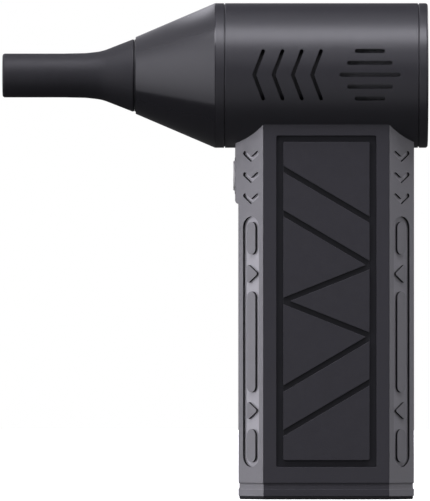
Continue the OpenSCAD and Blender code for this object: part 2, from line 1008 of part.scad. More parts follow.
module motor_leads() {
  z0 = axis_z - 5.5;
  color("#a02828")
    for (y = motor_wire_y)
      wire([[pod_x[0], y, z0], [motor_wire_x, y, z0], [motor_wire_x, y, motor_wire_z],
        [board_x - fit, y, motor_wire_z]], wire_r);
}

module switch_leads() {
  z0 = 94.2;
  color("#2a2a2e")
    for (s = [-1, 1])
      wire([[switch_board_x + switch_board_t + fit, 4 * s, z0], [0, 4 * s, z0],
        [board_x - fit, 4 * s, z0]], 0.5);
}

// ---------- base ----------

// The dark strip across one side of the base cap, or with no gap the pocket for it
module inlay_shape(gap) {
  depth = 1.5;
  box([-panel_half + gap, -half_t, pad_h], [panel_half - gap, -half_t + depth - gap, groove_low]);
  box([-panel_half + gap, -half_t + groove_depth, groove_low - tiny],
    [panel_half - gap, -half_t + depth - gap, cap_top]);
}

module base_cap() {
  lip_t = 1.25;
  hollow = [17.5, 9, 2.2];
  color("#84838a")
    difference() {
      union() {
        outline_prism(0, pad_h, groove_low);
        outline_prism(groove_depth, groove_low, cap_top);
        difference() {
          cavity_prism(0.15, cap_top - tiny, lip_top);
          cavity_prism(0.15 + lip_t, cap_top - 1, lip_top + 1);
        }
      }
      for (s = [0, 1])
        mirror([0, s, 0])
          inlay_shape(0);
      box([-hollow[0], -hollow[1], hollow[2]], [hollow[0], hollow[1], cap_top + 1]);
      for (sx = [-1, 1], sy = [-1, 1]) {
        rod_z([base_post[0] * sx, base_post[1] * sy, pad_h - 1], head_r + 0.1, 1 + head_h + 0.1);
        rod_z([base_post[0] * sx, base_post[1] * sy, pad_h - 1], clear_r, cap_top + 1);
      }
    }
}

module base_inlay_left() {
  color("#343338")
    inlay_shape(fit);
}

module base_inlay_right() {
  color("#343338")
    right_side()
      inlay_shape(fit);
}

module base_screws() {
  color("#b9babd")
    for (sx = [-1, 1], sy = [-1, 1])
      translate([base_post[0] * sx, base_post[1] * sy, pad_h + head_h + 0.1])
        screw(8);
}

module base_pad() {
  color("#1b1b1d")
    outline_prism(0.3, 0, pad_h);
}

// ---------- choice ----------

nozzle_tip();
tip_seal();
nozzle_cone();
cone_seal();
barrel_shell();
rear_bezel();
intake_grille();
intake_screen();
fan_duct();
duct_gaskets();
lead_grommet();
tail_cone();
motor_core();
motor_windings();
motor_end_front();
motor_end_rear();
bearing_front();
bearing_rear();
motor_shaft();
rotor_magnet();
impeller();
impeller_nut();
handle_left();
handle_right();
handle_screws();
side_panel_left();
side_panel_right();
grip_pad_left();
grip_pad_right();
neck_frame();
neck_screws();
button_ring();
power_button();
button_switch();
switch_board();
control_board();
board_parts();
board_screws();
usb_socket();
indicator_lens();
battery_cell_front();
battery_cell_rear();
battery_holder_top();
battery_holder_bottom();
battery_links();
battery_leads();
motor_leads();
switch_leads();
base_cap();
base_inlay_left();
base_inlay_right();
base_screws();
base_pad();
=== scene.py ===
"""Looks for the cordless air pump: detailed outer pieces, materials, studio light and camera.
"""
import math

import bmesh
import bpy
from mathutils import Matrix, Vector


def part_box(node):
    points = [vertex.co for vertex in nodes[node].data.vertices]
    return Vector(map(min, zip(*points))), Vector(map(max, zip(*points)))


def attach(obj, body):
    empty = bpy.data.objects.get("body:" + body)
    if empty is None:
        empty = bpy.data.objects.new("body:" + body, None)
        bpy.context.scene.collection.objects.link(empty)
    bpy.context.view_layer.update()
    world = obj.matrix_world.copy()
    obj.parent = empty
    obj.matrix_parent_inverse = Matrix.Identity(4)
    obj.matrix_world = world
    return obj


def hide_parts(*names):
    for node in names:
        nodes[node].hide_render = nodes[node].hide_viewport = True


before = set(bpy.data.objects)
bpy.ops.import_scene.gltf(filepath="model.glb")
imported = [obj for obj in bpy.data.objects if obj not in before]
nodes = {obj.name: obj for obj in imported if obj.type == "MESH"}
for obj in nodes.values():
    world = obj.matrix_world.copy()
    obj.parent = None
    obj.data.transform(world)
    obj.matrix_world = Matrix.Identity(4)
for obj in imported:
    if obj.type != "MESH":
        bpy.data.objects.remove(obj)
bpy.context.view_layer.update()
MM = 0.001


def box_mm(node):
    """A CAD node's lowest and highest corners, in millimetres."""
    low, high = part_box(node)
    return Vector(low) / MM, Vector(high) / MM


# ---------- driving sizes, from the frame ----------

BARREL_WALL = 2.0
BARREL_LOW, BARREL_HIGH = box_mm("barrel_shell")
BARREL_R = BARREL_HIGH.y
AXIS_Z = BARREL_HIGH.z - BARREL_R
BORE_R = BARREL_R - BARREL_WALL
SPIGOT_LENGTH = 6.9
CONE_FRONT_R = 12.0
COLLAR_LENGTH = 2.85
END_GAP = 0.25
CONE_LOW, CONE_HIGH = box_mm("nozzle_cone")
CONE_FRONT = CONE_LOW.x + SPIGOT_LENGTH
COLLAR_REAR = BARREL_LOW.x - END_GAP
COLLAR_FRONT = COLLAR_REAR - COLLAR_LENGTH
CONE_SLOPE = math.atan2(BARREL_R - CONE_FRONT_R, COLLAR_FRONT - CONE_FRONT)
HANDLE_LOW, HANDLE_HIGH = box_mm("handle_left")
HALF_W = HANDLE_HIGH.x
HALF_T = -HANDLE_LOW.y
SEAM_Z = HANDLE_LOW.z
PANEL_THICK = 2.2
PANEL_GAP = 0.05
FIT = 0.06
PANEL_HIGH = box_mm("side_panel_left")[1]
PANEL_HALF = PANEL_HIGH.x + PANEL_GAP
PANEL_IN = HALF_T - PANEL_THICK
CHAMFER = HALF_W - PANEL_HALF
WELL_HALF = 15.6
WELL_Z = (10.1, 113.4)
WELL_DEPTH = 1.0
GRIP_LOW, GRIP_HIGH = box_mm("grip_pad_left")
GRIP_MID = (GRIP_LOW.z + GRIP_HIGH.z) / 2
PAD_LOW, PAD_HIGH = box_mm("base_pad")
CAP_LOW, CAP_HIGH = box_mm("base_cap")
CAP_TOP = SEAM_Z - 0.03
GROOVE_LOW = 3.2
GROOVE_HIGH = 5.0
GROOVE_DEPTH = 0.3
GROOVE_BEND = GROOVE_HIGH - 0.1
SINK = 0.3


# ---------- mesh helpers ----------

def piece_from(name, mesh):
    piece = bpy.data.objects.new(name, mesh)
    bpy.context.scene.collection.objects.link(piece)
    return piece


def piece_from_faces(name, points, faces):
    """A mesh object from points in millimetres."""
    mesh = bpy.data.meshes.new(name)
    mesh.from_pydata([Vector(p) * MM for p in points], [], faces)
    mesh.validate()
    piece = piece_from(name, mesh)
    tidy(piece)
    return piece


def tidy(piece, dissolve=None):
    """Merges doubled points, turns the faces outwards and can dissolve flat edges."""
    shape = bmesh.new()
    shape.from_mesh(piece.data)
    bmesh.ops.remove_doubles(shape, verts=shape.verts, dist=0.002 * MM)
    if dissolve:
        bmesh.ops.dissolve_limit(shape, angle_limit=math.radians(dissolve), verts=shape.verts,
                                 edges=shape.edges, use_dissolve_boundaries=False)
    bmesh.ops.recalc_face_normals(shape, faces=shape.faces)
    shape.to_mesh(piece.data)
    shape.free()


def apply_modifiers(piece):
    depsgraph = bpy.context.evaluated_depsgraph_get()
    made = bpy.data.meshes.new_from_object(piece.evaluated_get(depsgraph))
    piece.modifiers.clear()
    piece.data = made


def rounded(outline, radius=0.0, steps=5):
    """A closed outline with its corners turned into arcs. A point may carry its own radius."""
    made = []
    for i, corner in enumerate(outline):
        here = Vector(corner[:2])
        wanted = corner[2] if len(corner) > 2 else radius
        back = Vector(outline[i - 1][:2]) - here
        ahead = Vector(outline[(i + 1) % len(outline)][:2]) - here
        angle = back.angle(ahead)
        if wanted <= 0 or angle > math.pi - 0.01:
            made.append(here)
            continue
        reach = min(wanted / math.tan(angle / 2), 0.49 * back.length, 0.49 * ahead.length)
        radius_here = reach * math.tan(angle / 2)
        middle = (back.normalized() + ahead.normalized()).normalized()
        centre = here + middle * (radius_here / math.sin(angle / 2))
        start = here + back.normalized() * reach - centre
        end = here + ahead.normalized() * reach - centre
        turn = math.atan2(start.x * end.y - start.y * end.x, start.dot(end))
        for k in range(steps + 1):
            made.append(centre + Matrix.Rotation(turn * k / steps, 2) @ start)
    return made


def stroke(points, half, cap=8):
    """The outline of a line of width 2 x half through points, with round ends and mitred bends."""
    points = [Vector(p) for p in points]
    ways = [(b - a).normalized() for a, b in zip(points, points[1:])]
    sides = [Vector((-way.y, way.x)) for way in ways]

    def edge(sign):
        made = [points[0] + sides[0] * half * sign]
        for i in range(1, len(points) - 1):
            mitre = sides[i - 1] + sides[i]
            made.append(points[i] + mitre * (half * sign / mitre.dot(sides[i])))
        made.append(points[-1] + sides[-1] * half * sign)
        return made

    def round_end(centre, start):
        return [centre + Matrix.Rotation(math.pi * k / cap, 2) @ (start - centre)
                for k in range(1, cap)]

    right = edge(-1)
    left = edge(1)
    return (right + round_end(points[-1], right[-1]) + left[::-1]
            + round_end(points[0], left[0]))


def extruded(name, outline, place, depth):
    """An outline in the local X and Y of a placing matrix, pushed along its local Z."""
    count = len(outline)
    points = [place @ Vector((p[0], p[1], h)) for h in (0.0, depth) for p in outline]
    faces = [list(range(count))[::-1], list(range(count, 2 * count))]
    faces += [[i, (i + 1) % count, count + (i + 1) % count, count + i] for i in range(count)]
    return piece_from_faces(name, points, faces)


def placing(origin, across, up):
    """A matrix that puts local X along across and local Y along up."""
    across = Vector(across).normalized()
    up = Vector(up).normalized()
    out = across.cross(up)
    made = Matrix((across, up, out)).transposed().to_4x4()
    made.translation = Vector(origin)
    return made


def along_x(x):
    """A placing at x that extrudes rearwards: local X to the right side, Y up."""
    return placing((x, 0, 0), (0, 1, 0), (0, 0, 1))


def from_left(y):
    """A placing at y that extrudes to the left side: local X to the rear, Y up."""
    return placing((0, y, 0), (1, 0, 0), (0, 0, 1))


def oblong(half, low, high):
    """The corners of a rectangle, even about the local Y axis."""
    return [(-half, low), (half, low), (half, high), (-half, high)]


def turned(name, outline, steps=192):
    """A closed outline of (x, radius) points turned about the barrel's axis."""
    count = len(outline)
    points = []
    for k in range(steps):
        angle = 2 * math.pi * k / steps
        for x, r in outline:
            points.append((x, r * math.sin(angle), AXIS_Z + r * math.cos(angle)))
    faces = []
    for k in range(steps):
        here = k * count
        ahead = ((k + 1) % steps) * count
        for i in range(count):
            j = (i + 1) % count
            faces.append([here + i, here + j, ahead + j, ahead + i])
    return piece_from_faces(name, points, faces)


def lofted(name, rings):
    """A solid through closed rings of equal point counts, closed at both ends."""
    count = len(rings[0])
    points = [p for ring in rings for p in ring]
    faces = [list(range(count))[::-1],
             list(range((len(rings) - 1) * count, len(rings) * count))]
    for k in range(len(rings) - 1):
        for i in range(count):
            j = (i + 1) % count
            faces.append([k * count + i, k * count + j, (k + 1) * count + j, (k + 1) * count + i])
    return piece_from_faces(name, points, faces)


def joined(name, pieces):
    """Several pieces as one, with the parts removed."""
    shape = bmesh.new()
    for piece in pieces:
        shape.from_mesh(piece.data)
        bpy.data.objects.remove(piece)
    mesh = bpy.data.meshes.new(name)
    shape.to_mesh(mesh)
    shape.free()
    return piece_from(name, mesh)


def mirrored(piece, name, axis):
    """A mirror image of a piece across the plane through the origin that axis is normal to."""
    mesh = piece.data.copy()
    flip = Matrix.Scale(-1, 4, Vector(axis))
    mesh.transform(flip)
    mesh.flip_normals()
    return piece_from(name, mesh)


def cut(piece, tools, crossing=False):
    """Takes tools out of a piece. Crossing tools run through one another."""
    tool = joined("tool", tools)
    change = piece.modifiers.new("cut", "BOOLEAN")
    change.operation = "DIFFERENCE"
    change.solver = "EXACT"
    change.use_self = crossing
    change.object = tool
    apply_modifiers(piece)
    bpy.data.objects.remove(tool)


def soften(piece, width, limit=32):
    """Rounds the edges that turn by more than limit degrees."""
    bevel = piece.modifiers.new("edges", "BEVEL")
    bevel.width = width * MM
    bevel.segments = 2
    bevel.limit_method = "ANGLE"
    bevel.angle_limit = math.radians(limit)
    bevel.miter_outer = "MITER_ARC"
    bevel.use_clamp_overlap = True
    apply_modifiers(piece)


def smooth(piece, angle, weighted=True):
    mesh = piece.data
    mesh.polygons.foreach_set("use_smooth", [True] * len(mesh.polygons))
    mesh.set_sharp_from_angle(angle=math.radians(angle))
    if weighted:
        normals = piece.modifiers.new("normals", "WEIGHTED_NORMAL")
        normals.keep_sharp = True
        normals.weight = 80


def finished(piece, body, slot, stands_for, *materials):
    """Gives a piece its materials and body, and hides the CAD nodes it stands for; the record slot
    argument is not used.
    """
    faces = piece.data.polygons
    chosen = [face.material_index for face in faces]
    piece.data.materials.clear()
    for material in materials:
        piece.data.materials.append(material)
    faces.foreach_set("material_index", chosen)
    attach(piece, body)
    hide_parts(*stands_for)


def drop(point):
    """Height of the barrel's underside above a point's y."""
    return AXIS_Z - math.sqrt(BARREL_R ** 2 - point[1] ** 2)


# ---------- materials ----------

def fill(node, values):
    """Sets inputs of a node that nothing is linked to."""
    for socket, value in values.items():
        node.inputs[socket].default_value = value


class Shader:
    """A node material built up from a Principled shader."""

    def __init__(self, name, colour, rough, metal=0.0, specular=0.5):
        self.material = bpy.data.materials.new(name)
        self.material.use_nodes = True
        self.tree = self.material.node_tree
        self.main = self.tree.nodes["Principled BSDF"]
        self.colour = colour
        self.rough = rough
        fill(self.main, {"Base Color": (*colour, 1.0), "Roughness": rough, "Metallic": metal,
                         "Specular IOR Level": specular})
        self.place = self.node("ShaderNodeTexCoord").outputs["Object"]

    def node(self, kind, **values):
        made = self.tree.nodes.new(kind)
        for key, value in values.items():
            setattr(made, key, value)
        return made

    def link(self, a, b):
        self.tree.links.new(a, b)

    def noise(self, size_mm, detail=3.0, rough=0.55):
        made = self.node("ShaderNodeTexNoise")
        fill(made, {"Scale": 1.0 / (size_mm * MM), "Detail": detail, "Roughness": rough})
        self.link(self.place, made.inputs["Vector"])
        return made.outputs["Fac"]

    def ranged(self, value, low, high, new_low, new_high):
        made = self.node("ShaderNodeMapRange")
        fill(made, {"From Min": low, "From Max": high, "To Min": new_low, "To Max": new_high})
        self.link(value, made.inputs["Value"])
        return made.outputs["Result"]

    def shade(self, times):
        """The colour at a multiple of its brightness."""
        return [min(1.0, c * times) for c in self.colour] + [1.0]

    def mixed(self, mask, colour):
        """Links the base colour to a mix and returns the socket for its other colour."""
        mix = self.node("ShaderNodeMix", data_type="RGBA", blend_type="MIX")
        mix.inputs["B"].default_value = colour
        self.link(mask, mix.inputs["Factor"])
        self.link(mix.outputs["Result"], self.main.inputs["Base Color"])
        return mix.inputs["A"]

    def vary_colour(self, size_mm, amount):
        """Light and dark drifts in the colour, by a share of its brightness."""
        mask = self.ranged(self.noise(size_mm), 0.3, 0.7, 0.0, 1.0)
        self.mixed(mask, self.shade(1 + amount)).default_value = self.shade(1 - amount)

    def vary_rough(self, size_mm, amount):
        low = max(0.02, self.rough - amount)
        high = min(1.0, self.rough + amount)
        self.link(self.ranged(self.noise(size_mm, 4.0), 0.3, 0.7, low, high),
                  self.main.inputs["Roughness"])

    def wear(self, width_mm, lift, polish):
        """Rubbed edges: a little lighter and smoother where the surface turns, in patches."""
        bevel = self.node("ShaderNodeBevel", samples=6)
        bevel.inputs["Radius"].default_value = width_mm * MM
        flat = self.node("ShaderNodeNewGeometry")
        turn = self.node("ShaderNodeVectorMath", operation="DOT_PRODUCT")
        self.link(bevel.outputs["Normal"], turn.inputs[0])
        self.link(flat.outputs["Normal"], turn.inputs[1])
        edge = self.ranged(turn.outputs["Value"], 0.985, 0.80, 0.0, 1.0)
        patches = self.ranged(self.noise(5.0, 5.0, 0.65), 0.35, 0.65, 0.25, 1.0)
        mask = self.node("ShaderNodeMath", operation="MULTIPLY")
        self.link(edge, mask.inputs[0])
        self.link(patches, mask.inputs[1])
        self.mix_over(mask.outputs["Value"], self.shade(1 + lift))
        smoother = self.node("ShaderNodeMath", operation="MULTIPLY_ADD")
        self.link(mask.outputs["Value"], smoother.inputs[0])
        smoother.inputs[1].default_value = -polish
        self.link(self.main.inputs["Roughness"].links[0].from_socket, smoother.inputs[2])
        self.link(smoother.outputs["Value"], self.main.inputs["Roughness"])

    def mix_over(self, mask, colour):
        """Lays a colour over whatever the base colour is already linked to, by a mask."""
        before = self.main.inputs["Base Color"].links[0].from_socket
        self.link(before, self.mixed(mask, colour))

    def other_ahead(self, x_mm, colour):
        """Another colour in front of a place along the barrel, blended over 2 mm."""
        apart = self.node("ShaderNodeSeparateXYZ")
        self.link(self.place, apart.inputs["Vector"])
        mask = self.ranged(apart.outputs["X"], (x_mm - 1) * MM, (x_mm + 1) * MM, 1.0, 0.0)
        self.mix_over(mask, (*colour, 1.0))

    def bump(self, heights, strength, depth_mm):
        made = self.node("ShaderNodeBump")
        fill(made, {"Strength": strength, "Distance": depth_mm * MM})
        self.link(heights, made.inputs["Height"])
        self.link(made.outputs["Normal"], self.main.inputs["Normal"])


def moulded(name, colour, rough, grain_mm=0.35, depth_mm=0.012, strength=0.35, drift=0.03,
            specular=0.5):
    """Moulded plastic: fine spark grain, slow drifts in colour and gloss."""
    made = Shader(name, colour, rough, specular=specular)
    made.vary_colour(9.0, drift)
    made.vary_rough(2.0, 0.02)
    made.wear(0.25, 0.5, 0.08)
    made.bump(made.noise(grain_mm, 2.0), strength, depth_mm)
    return made.material


def rubber(name, colour, rough, sheen=0.05):
    """Soft-touch rubber: a dull, slightly dusty skin."""
    made = Shader(name, colour, rough, specular=0.35)
    made.vary_colour(3.0, 0.05)
    made.vary_rough(1.2, 0.035)
    made.bump(made.noise(0.5, 3.0, 0.6), 0.6, 0.05)
    fill(made.main, {"Sheen Weight": sheen, "Sheen Roughness": 0.5})
    return made.material


def metal(name, colour, rough):
    """Bare or plated metal with fine machining grain and slow drifts."""
    made = Shader(name, colour, rough, metal=1.0)
    made.vary_colour(2.5, 0.07)
    made.vary_rough(0.8, 0.08)
    made.bump(made.noise(0.25, 3.0), 0.3, 0.004)
    return made.material


def silvery(name, colour, rough):
    """Grey plastic with a metallic paint: fine flakes under a satin coat."""
    flake_mm = 0.12
    made = Shader(name, colour, rough, metal=0.25)
    flakes = made.node("ShaderNodeTexVoronoi")
    flakes.inputs["Scale"].default_value = 1.0 / (flake_mm * MM)
    made.link(made.place, flakes.inputs["Vector"])
    made.mixed(flakes.outputs["Color"], made.shade(1.08)).default_value = made.shade(0.94)
    made.vary_rough(2.5, 0.04)
    made.wear(0.25, 0.25, 0.08)
    made.bump(made.noise(0.35, 3.0, 0.6), 0.5, 0.022)
    return made.material


GREY = (0.206, 0.203, 0.209)


def lighter_grey(times):
    """The handle's grey at a multiple of its brightness."""
    return tuple(c * times for c in GREY)


barrel_look = moulded("barrel_satin", (0.022, 0.0215, 0.0255), 0.38, 0.25, 0.006, 0.25)
cone_look = moulded("cone_satin", (0.017, 0.0165, 0.0195), 0.17, 0.3, 0.002, 0.12)
tip_look = rubber("tip_rubber", (0.016, 0.0155, 0.0185), 0.56, sheen=0.0)
bezel_look = moulded("bezel_satin", (0.026, 0.026, 0.030), 0.34, 0.3, 0.006)
grille_look = moulded("grille_black", (0.012, 0.012, 0.0135), 0.38, 0.4, 0.01)
black_look = moulded("inner_black", (0.02, 0.02, 0.022), 0.5, 0.5, 0.015)
handle_look = silvery("handle_grey", GREY, 0.40)
# Painted light: the channel floors and V marks are 1.9 times the handle grey, and the rear channel
# floors 1.3 times.
painted_light_channel_look = silvery("channel_grey_painted_light", lighter_grey(1.9), 0.36)
painted_light_rear_channel_look = silvery("rear_channel_grey_painted_light", lighter_grey(1.3), 0.36)
# Painted shade: the walls of the pockets and V marks are a near-black grey.
painted_shade_wall_look = moulded("channel_wall_painted_shade", (0.017, 0.017, 0.018), 0.6, 0.4, 0.01, specular=0.15)
panel_look = moulded("panel_dark", (0.030, 0.0290, 0.0350), 0.48, 0.35, 0.03, 0.6)
grip_look = rubber("grip_rubber", (0.031, 0.0300, 0.0355), 0.55)
# Painted shade: the grip's groove floors are darker than the pad.
painted_shade_groove_look = moulded("groove_painted_shade", (0.019, 0.019, 0.021), 0.6, 0.4, 0.02, specular=0.15)
# Painted shade: the window floor around the grip pad is darker than the panel.
painted_shade_well_look = moulded("well_painted_shade", (0.021, 0.021, 0.024), 0.6, 0.4, 0.02, specular=0.15)
foot_look = rubber("foot_rubber", (0.010, 0.010, 0.011), 0.6)
seal_look = rubber("seal_rubber", (0.012, 0.012, 0.014), 0.45)
button_look = silvery("button_silver", (0.74, 0.73, 0.70), 0.36)
ring_look = silvery("ring_silver", (0.42, 0.42, 0.43), 0.32)
steel_look = metal("steel", (0.50, 0.50, 0.52), 0.30)
mesh_look = metal("mesh_steel", (0.30, 0.30, 0.32), 0.35)
core_look = metal("core_steel", (0.18, 0.18, 0.19), 0.45)
magnet_look = metal("magnet", (0.12, 0.12, 0.13), 0.4)
copper_look = metal("copper_wire", (0.62, 0.23, 0.10), 0.35)
aluminium_look = metal("aluminium", (0.66, 0.67, 0.70), 0.28)
brass_look = metal("brass", (0.72, 0.50, 0.20), 0.28)
nylon_look = moulded("nylon", (0.60, 0.60, 0.61), 0.5)
board_look = moulded("board_green", (0.012, 0.10, 0.04), 0.35)
sleeve_look = moulded("cell_sleeve", (0.02, 0.16, 0.45), 0.28)
nickel_look = metal("nickel", (0.62, 0.60, 0.56), 0.3)
red_look = moulded("wire_red", (0.35, 0.02, 0.02), 0.45)
wire_look = moulded("wire_black", (0.015, 0.015, 0.017), 0.45)


def duct_with_painted_shade():
    """The fan duct behind the slots, its front half painted dark as shade behind the chevrons."""
    made = Shader("duct_grey", (0.16, 0.16, 0.17), 0.5)
    made.vary_colour(9.0, 0.03)
    made.vary_rough(2.0, 0.02)
    # Painted shade: the duct is near black ahead of x = 1 mm, behind the chevrons.
    made.other_ahead(1.0, (0.02, 0.02, 0.022))
    made.bump(made.noise(0.5, 2.0), 0.35, 0.015)
    return made.material


def light_pipe():
    made = Shader("lens_clear", (0.80, 0.86, 0.90), 0.12)
    made.vary_rough(1.0, 0.03)
    fill(made.main, {"Transmission Weight": 0.6, "IOR": 1.49})
    return made.material


duct_look = duct_with_painted_shade()
lens_look = light_pipe()


# ---------- nozzle ----------

def make_tip():
    low, high = box_mm("nozzle_tip")
    flare_r = high.y
    tube_r = 6.85
    hole_r = 5.2
    socket_r = 7.4
    flare_length = 10.1
    flare_rise = 0.39
    waist_r = flare_r - flare_rise * flare_length
    tube_rear = high.x - 22.1
    socket_x = high.x - SPIGOT_LENGTH
    outline = rounded([
        (low.x, hole_r, 0.35), (low.x, tube_r, 0.9), (tube_rear, tube_r, 30),
        (tube_rear + 7, tube_r + 0.15, 14), (high.x - flare_length, waist_r, 14),
        (high.x, flare_r, 0.45), (high.x, socket_r, 0.3), (socket_x, socket_r, 0.2),
        (socket_x, hole_r, 0.3)], steps=8)
    tip = turned("nozzle_tip_skin", outline)
    smooth(tip, 40, weighted=False)
    finished(tip, "tip", "tip_rubber", ["nozzle_tip"], tip_look)


def groove(front, rear, r, deep_r):
    """The corners of a ring groove in an outline that runs rearwards at radius r."""
    return [(front, r, 0.1), (front, deep_r, 0.1), (rear, deep_r, 0.1), (rear, r, 0.1)]


def make_cone():
    """The cone with its spigot in front, its collar and its plug, each with a ring groove."""
    bore_r = 5.6
    spigot_r = 7.2
    spigot_groove_r = 6.45
    face_r = 11.3
    shoulder = CONE_FRONT - 0.36
    plug_r = 20.4
    plug_groove_r = 19.5
    wall = 1.8
    step_r = BARREL_R - 0.3
    step_x = COLLAR_REAR - 0.3
    front, rear = CONE_LOW.x, CONE_HIGH.x
    outline = rounded([
        (front, bore_r, 0.2), (front, spigot_r, 0.3),
        *groove(CONE_FRONT - 4.4, CONE_FRONT - 3.2, spigot_r, spigot_groove_r),
        (shoulder, spigot_r, 0.1), (shoulder, face_r, 0.1),
        (CONE_FRONT, face_r, 0.02), (CONE_FRONT, CONE_FRONT_R, 0.14),
        (COLLAR_FRONT, BARREL_R, 0.8), (COLLAR_REAR, BARREL_R, 0.15), (COLLAR_REAR, step_r, 0.05),
        (step_x, step_r, 0.05), (step_x, plug_r, 0.1),
        *groove(rear - 3.2, rear - 2.0, plug_r, plug_groove_r), (rear, plug_r, 0.3),
        (rear, plug_r - wall, 0.2), (COLLAR_REAR - 2, plug_r - wall, 2.0),
        (CONE_FRONT + 1.5, CONE_FRONT_R - wall, 1.0), (CONE_FRONT + 1.5, bore_r, 0.5)], steps=6)
    cone = turned("nozzle_cone_skin", outline, 256)
    smooth(cone, 40, weighted=False)
    # Painted shade: the spigot and its shoulder, ahead of the front face, take the dark seal
    # rubber to draw the dark line at the tip seam; the collar takes the barrel's finish.
    for face in cone.data.polygons:
        x = face.center.x / MM
        if x < CONE_FRONT - 0.03:
            face.material_index = 1
        elif x > COLLAR_FRONT + 0.15:
            face.material_index = 2
    finished(cone, "cone", "cone_plastic", ["nozzle_cone"], cone_look, seal_look, barrel_look)


# ---------- barrel ----------

CHEVRON_X = -22.5
CHEVRON_PITCH = 6.0
CHEVRON_ARM = (2.8, 7.4)
CHEVRON_HALF = 0.58
SLOT_X = 13.5
SLOT_LENGTHS = (8.85, 6.45, 4.05)
SLOT_PITCH = 3.7
SLOT_HALF = 0.65


def slot_outlines():
    made = []
    for i in range(4):
        x = CHEVRON_X + CHEVRON_PITCH * i
        made.append(stroke([(x + CHEVRON_ARM[0], AXIS_Z - CHEVRON_ARM[1]), (x, AXIS_Z),
                            (x + CHEVRON_ARM[0], AXIS_Z + CHEVRON_ARM[1])], CHEVRON_HALF))
    for i in range(-2, 3):
        half = SLOT_LENGTHS[abs(i)]
        z = AXIS_Z + SLOT_PITCH * i
        made.append(stroke([(SLOT_X - half, z), (SLOT_X + half, z)], SLOT_HALF))
    return made


def radial_normals(piece, radii):
    """Gives the faces of the barrel's round walls the normals of a true cylinder."""
    near = 0.02
    mesh = piece.data
    normals = [Vector((0, 0, 0))] * len(mesh.loops)
    for face in mesh.polygons:
        corners = [mesh.vertices[v].co / MM for v in face.vertices]
        reach = [math.hypot(c.y, c.z - AXIS_Z) for c in corners]
        for radius in radii:
            if all(abs(r - radius) < near for r in reach) and abs(face.normal.x) < near:
                for loop in face.loop_indices:
                    c = mesh.vertices[mesh.loops[loop].vertex_index].co / MM
                    out = Vector((0, c.y, c.z - AXIS_Z)).normalized()
                    normals[loop] = out if out.dot(face.normal) > 0 else -out
    mesh.normals_split_custom_set(normals)


def make_barrel():
    edge = 0.25
    lip = 0.45
    lip_r = BARREL_R - 0.4
    outline = rounded([
        (BARREL_LOW.x - lip, BORE_R, 0.08), (BARREL_LOW.x - lip, lip_r, 0.08),
        (BARREL_LOW.x, lip_r, 0.05), (BARREL_LOW.x, BARREL_R, edge),
        (BARREL_HIGH.x, BARREL_R, edge), (BARREL_HIGH.x, lip_r, 0.05),
        (BARREL_HIGH.x + lip, lip_r, 0.08), (BARREL_HIGH.x + lip, BORE_R, 0.08)], steps=3)
    barrel = turned("barrel_skin", outline, 256)
    tools = []
    for shape in slot_outlines():
        tool = extruded("tool", shape, from_left(3 - BORE_R), 6)
        tools += [tool, mirrored(tool, "tool", (0, 1, 0))]
    cut(barrel, tools)
    tidy(barrel, dissolve=0.2)
    soften(barrel, 0.14, 50)
    smooth(barrel, 50, weighted=False)
    radial_normals(barrel, (BARREL_R, BORE_R))
    finished(barrel, "pump", "barrel_plastic", ["barrel_shell"], barrel_look)


def make_bezel():
    low, high = box_mm("rear_bezel")
    front = BARREL_HIGH.x + END_GAP
    plug_in_r = 19.65
    plug_out_r = 20.5
    mouth_r = 19.0
    outline = rounded([
        (front, plug_in_r, 0.1), (low.x, plug_in_r, 0.15), (low.x, plug_out_r, 0.15),
        (front, plug_out_r, 0.1), (front, BARREL_R, 0.25), (high.x, BARREL_R, 0.8),
        (high.x, 20.6, 0.5), (high.x - 0.6, mouth_r, 0.5), (front, mouth_r, 0.2)], steps=6)
    bezel = turned("rear_bezel_skin", outline, 256)
    smooth(bezel, 40, weighted=False)
    finished(bezel, "pump", "bezel_plastic", ["rear_bezel"], bezel_look)


def ring(x0, x1, r0, r1, edge=0.3):
    return turned("ring", rounded([(x0, r0), (x0, r1), (x1, r1), (x1, r0)], edge, 3), 128)


def make_grille():
    """A flange, rings about a domed hub, and six spokes across them."""
    flange_front = box_mm("intake_grille")[0].x
    flange_r = 19.5
    back = flange_front + 1.0
    front = back + 1.8
    dome = front + 0.45
    rim_in, rim_out = 17.9, 18.9
    first_in, first_out, pitch = 3, 4.1, 4
    spoke_half, spoke_in, spoke_out, spoke_deep = 0.6, 2.5, 18.2, 1.5
    parts = [ring(flange_front, back + 0.1, rim_in, flange_r, 0.15),
             ring(back, front, rim_in, rim_out)]
    parts += [ring(back, front, first_in + pitch * i, first_out + pitch * i) for i in range(4)]
    hub = rounded([(back, 0.0), (back, 3.1, 0.3), (front, 3.1, 0.6), (dome, 1.8, 0.5),
                   (dome, 0.0)], steps=4)
    parts.append(turned("hub", hub, 64))
    centre = Matrix.Translation(Vector((back, 0, AXIS_Z)) * MM)
    for k in range(6):
        spoke = extruded("spoke", oblong(spoke_half, spoke_in, spoke_out), Matrix.Identity(4),
                         spoke_deep)
        turn = Matrix.Rotation(math.radians(60 * k), 4, "X")
        spoke.data.transform(centre @ turn @ along_x(0))
        soften(spoke, 0.3)
        parts.append(spoke)
    grille = joined("intake_grille_skin", parts)
    smooth(grille, 40)
    finished(grille, "pump", "grille_plastic", ["intake_grille"], grille_look)


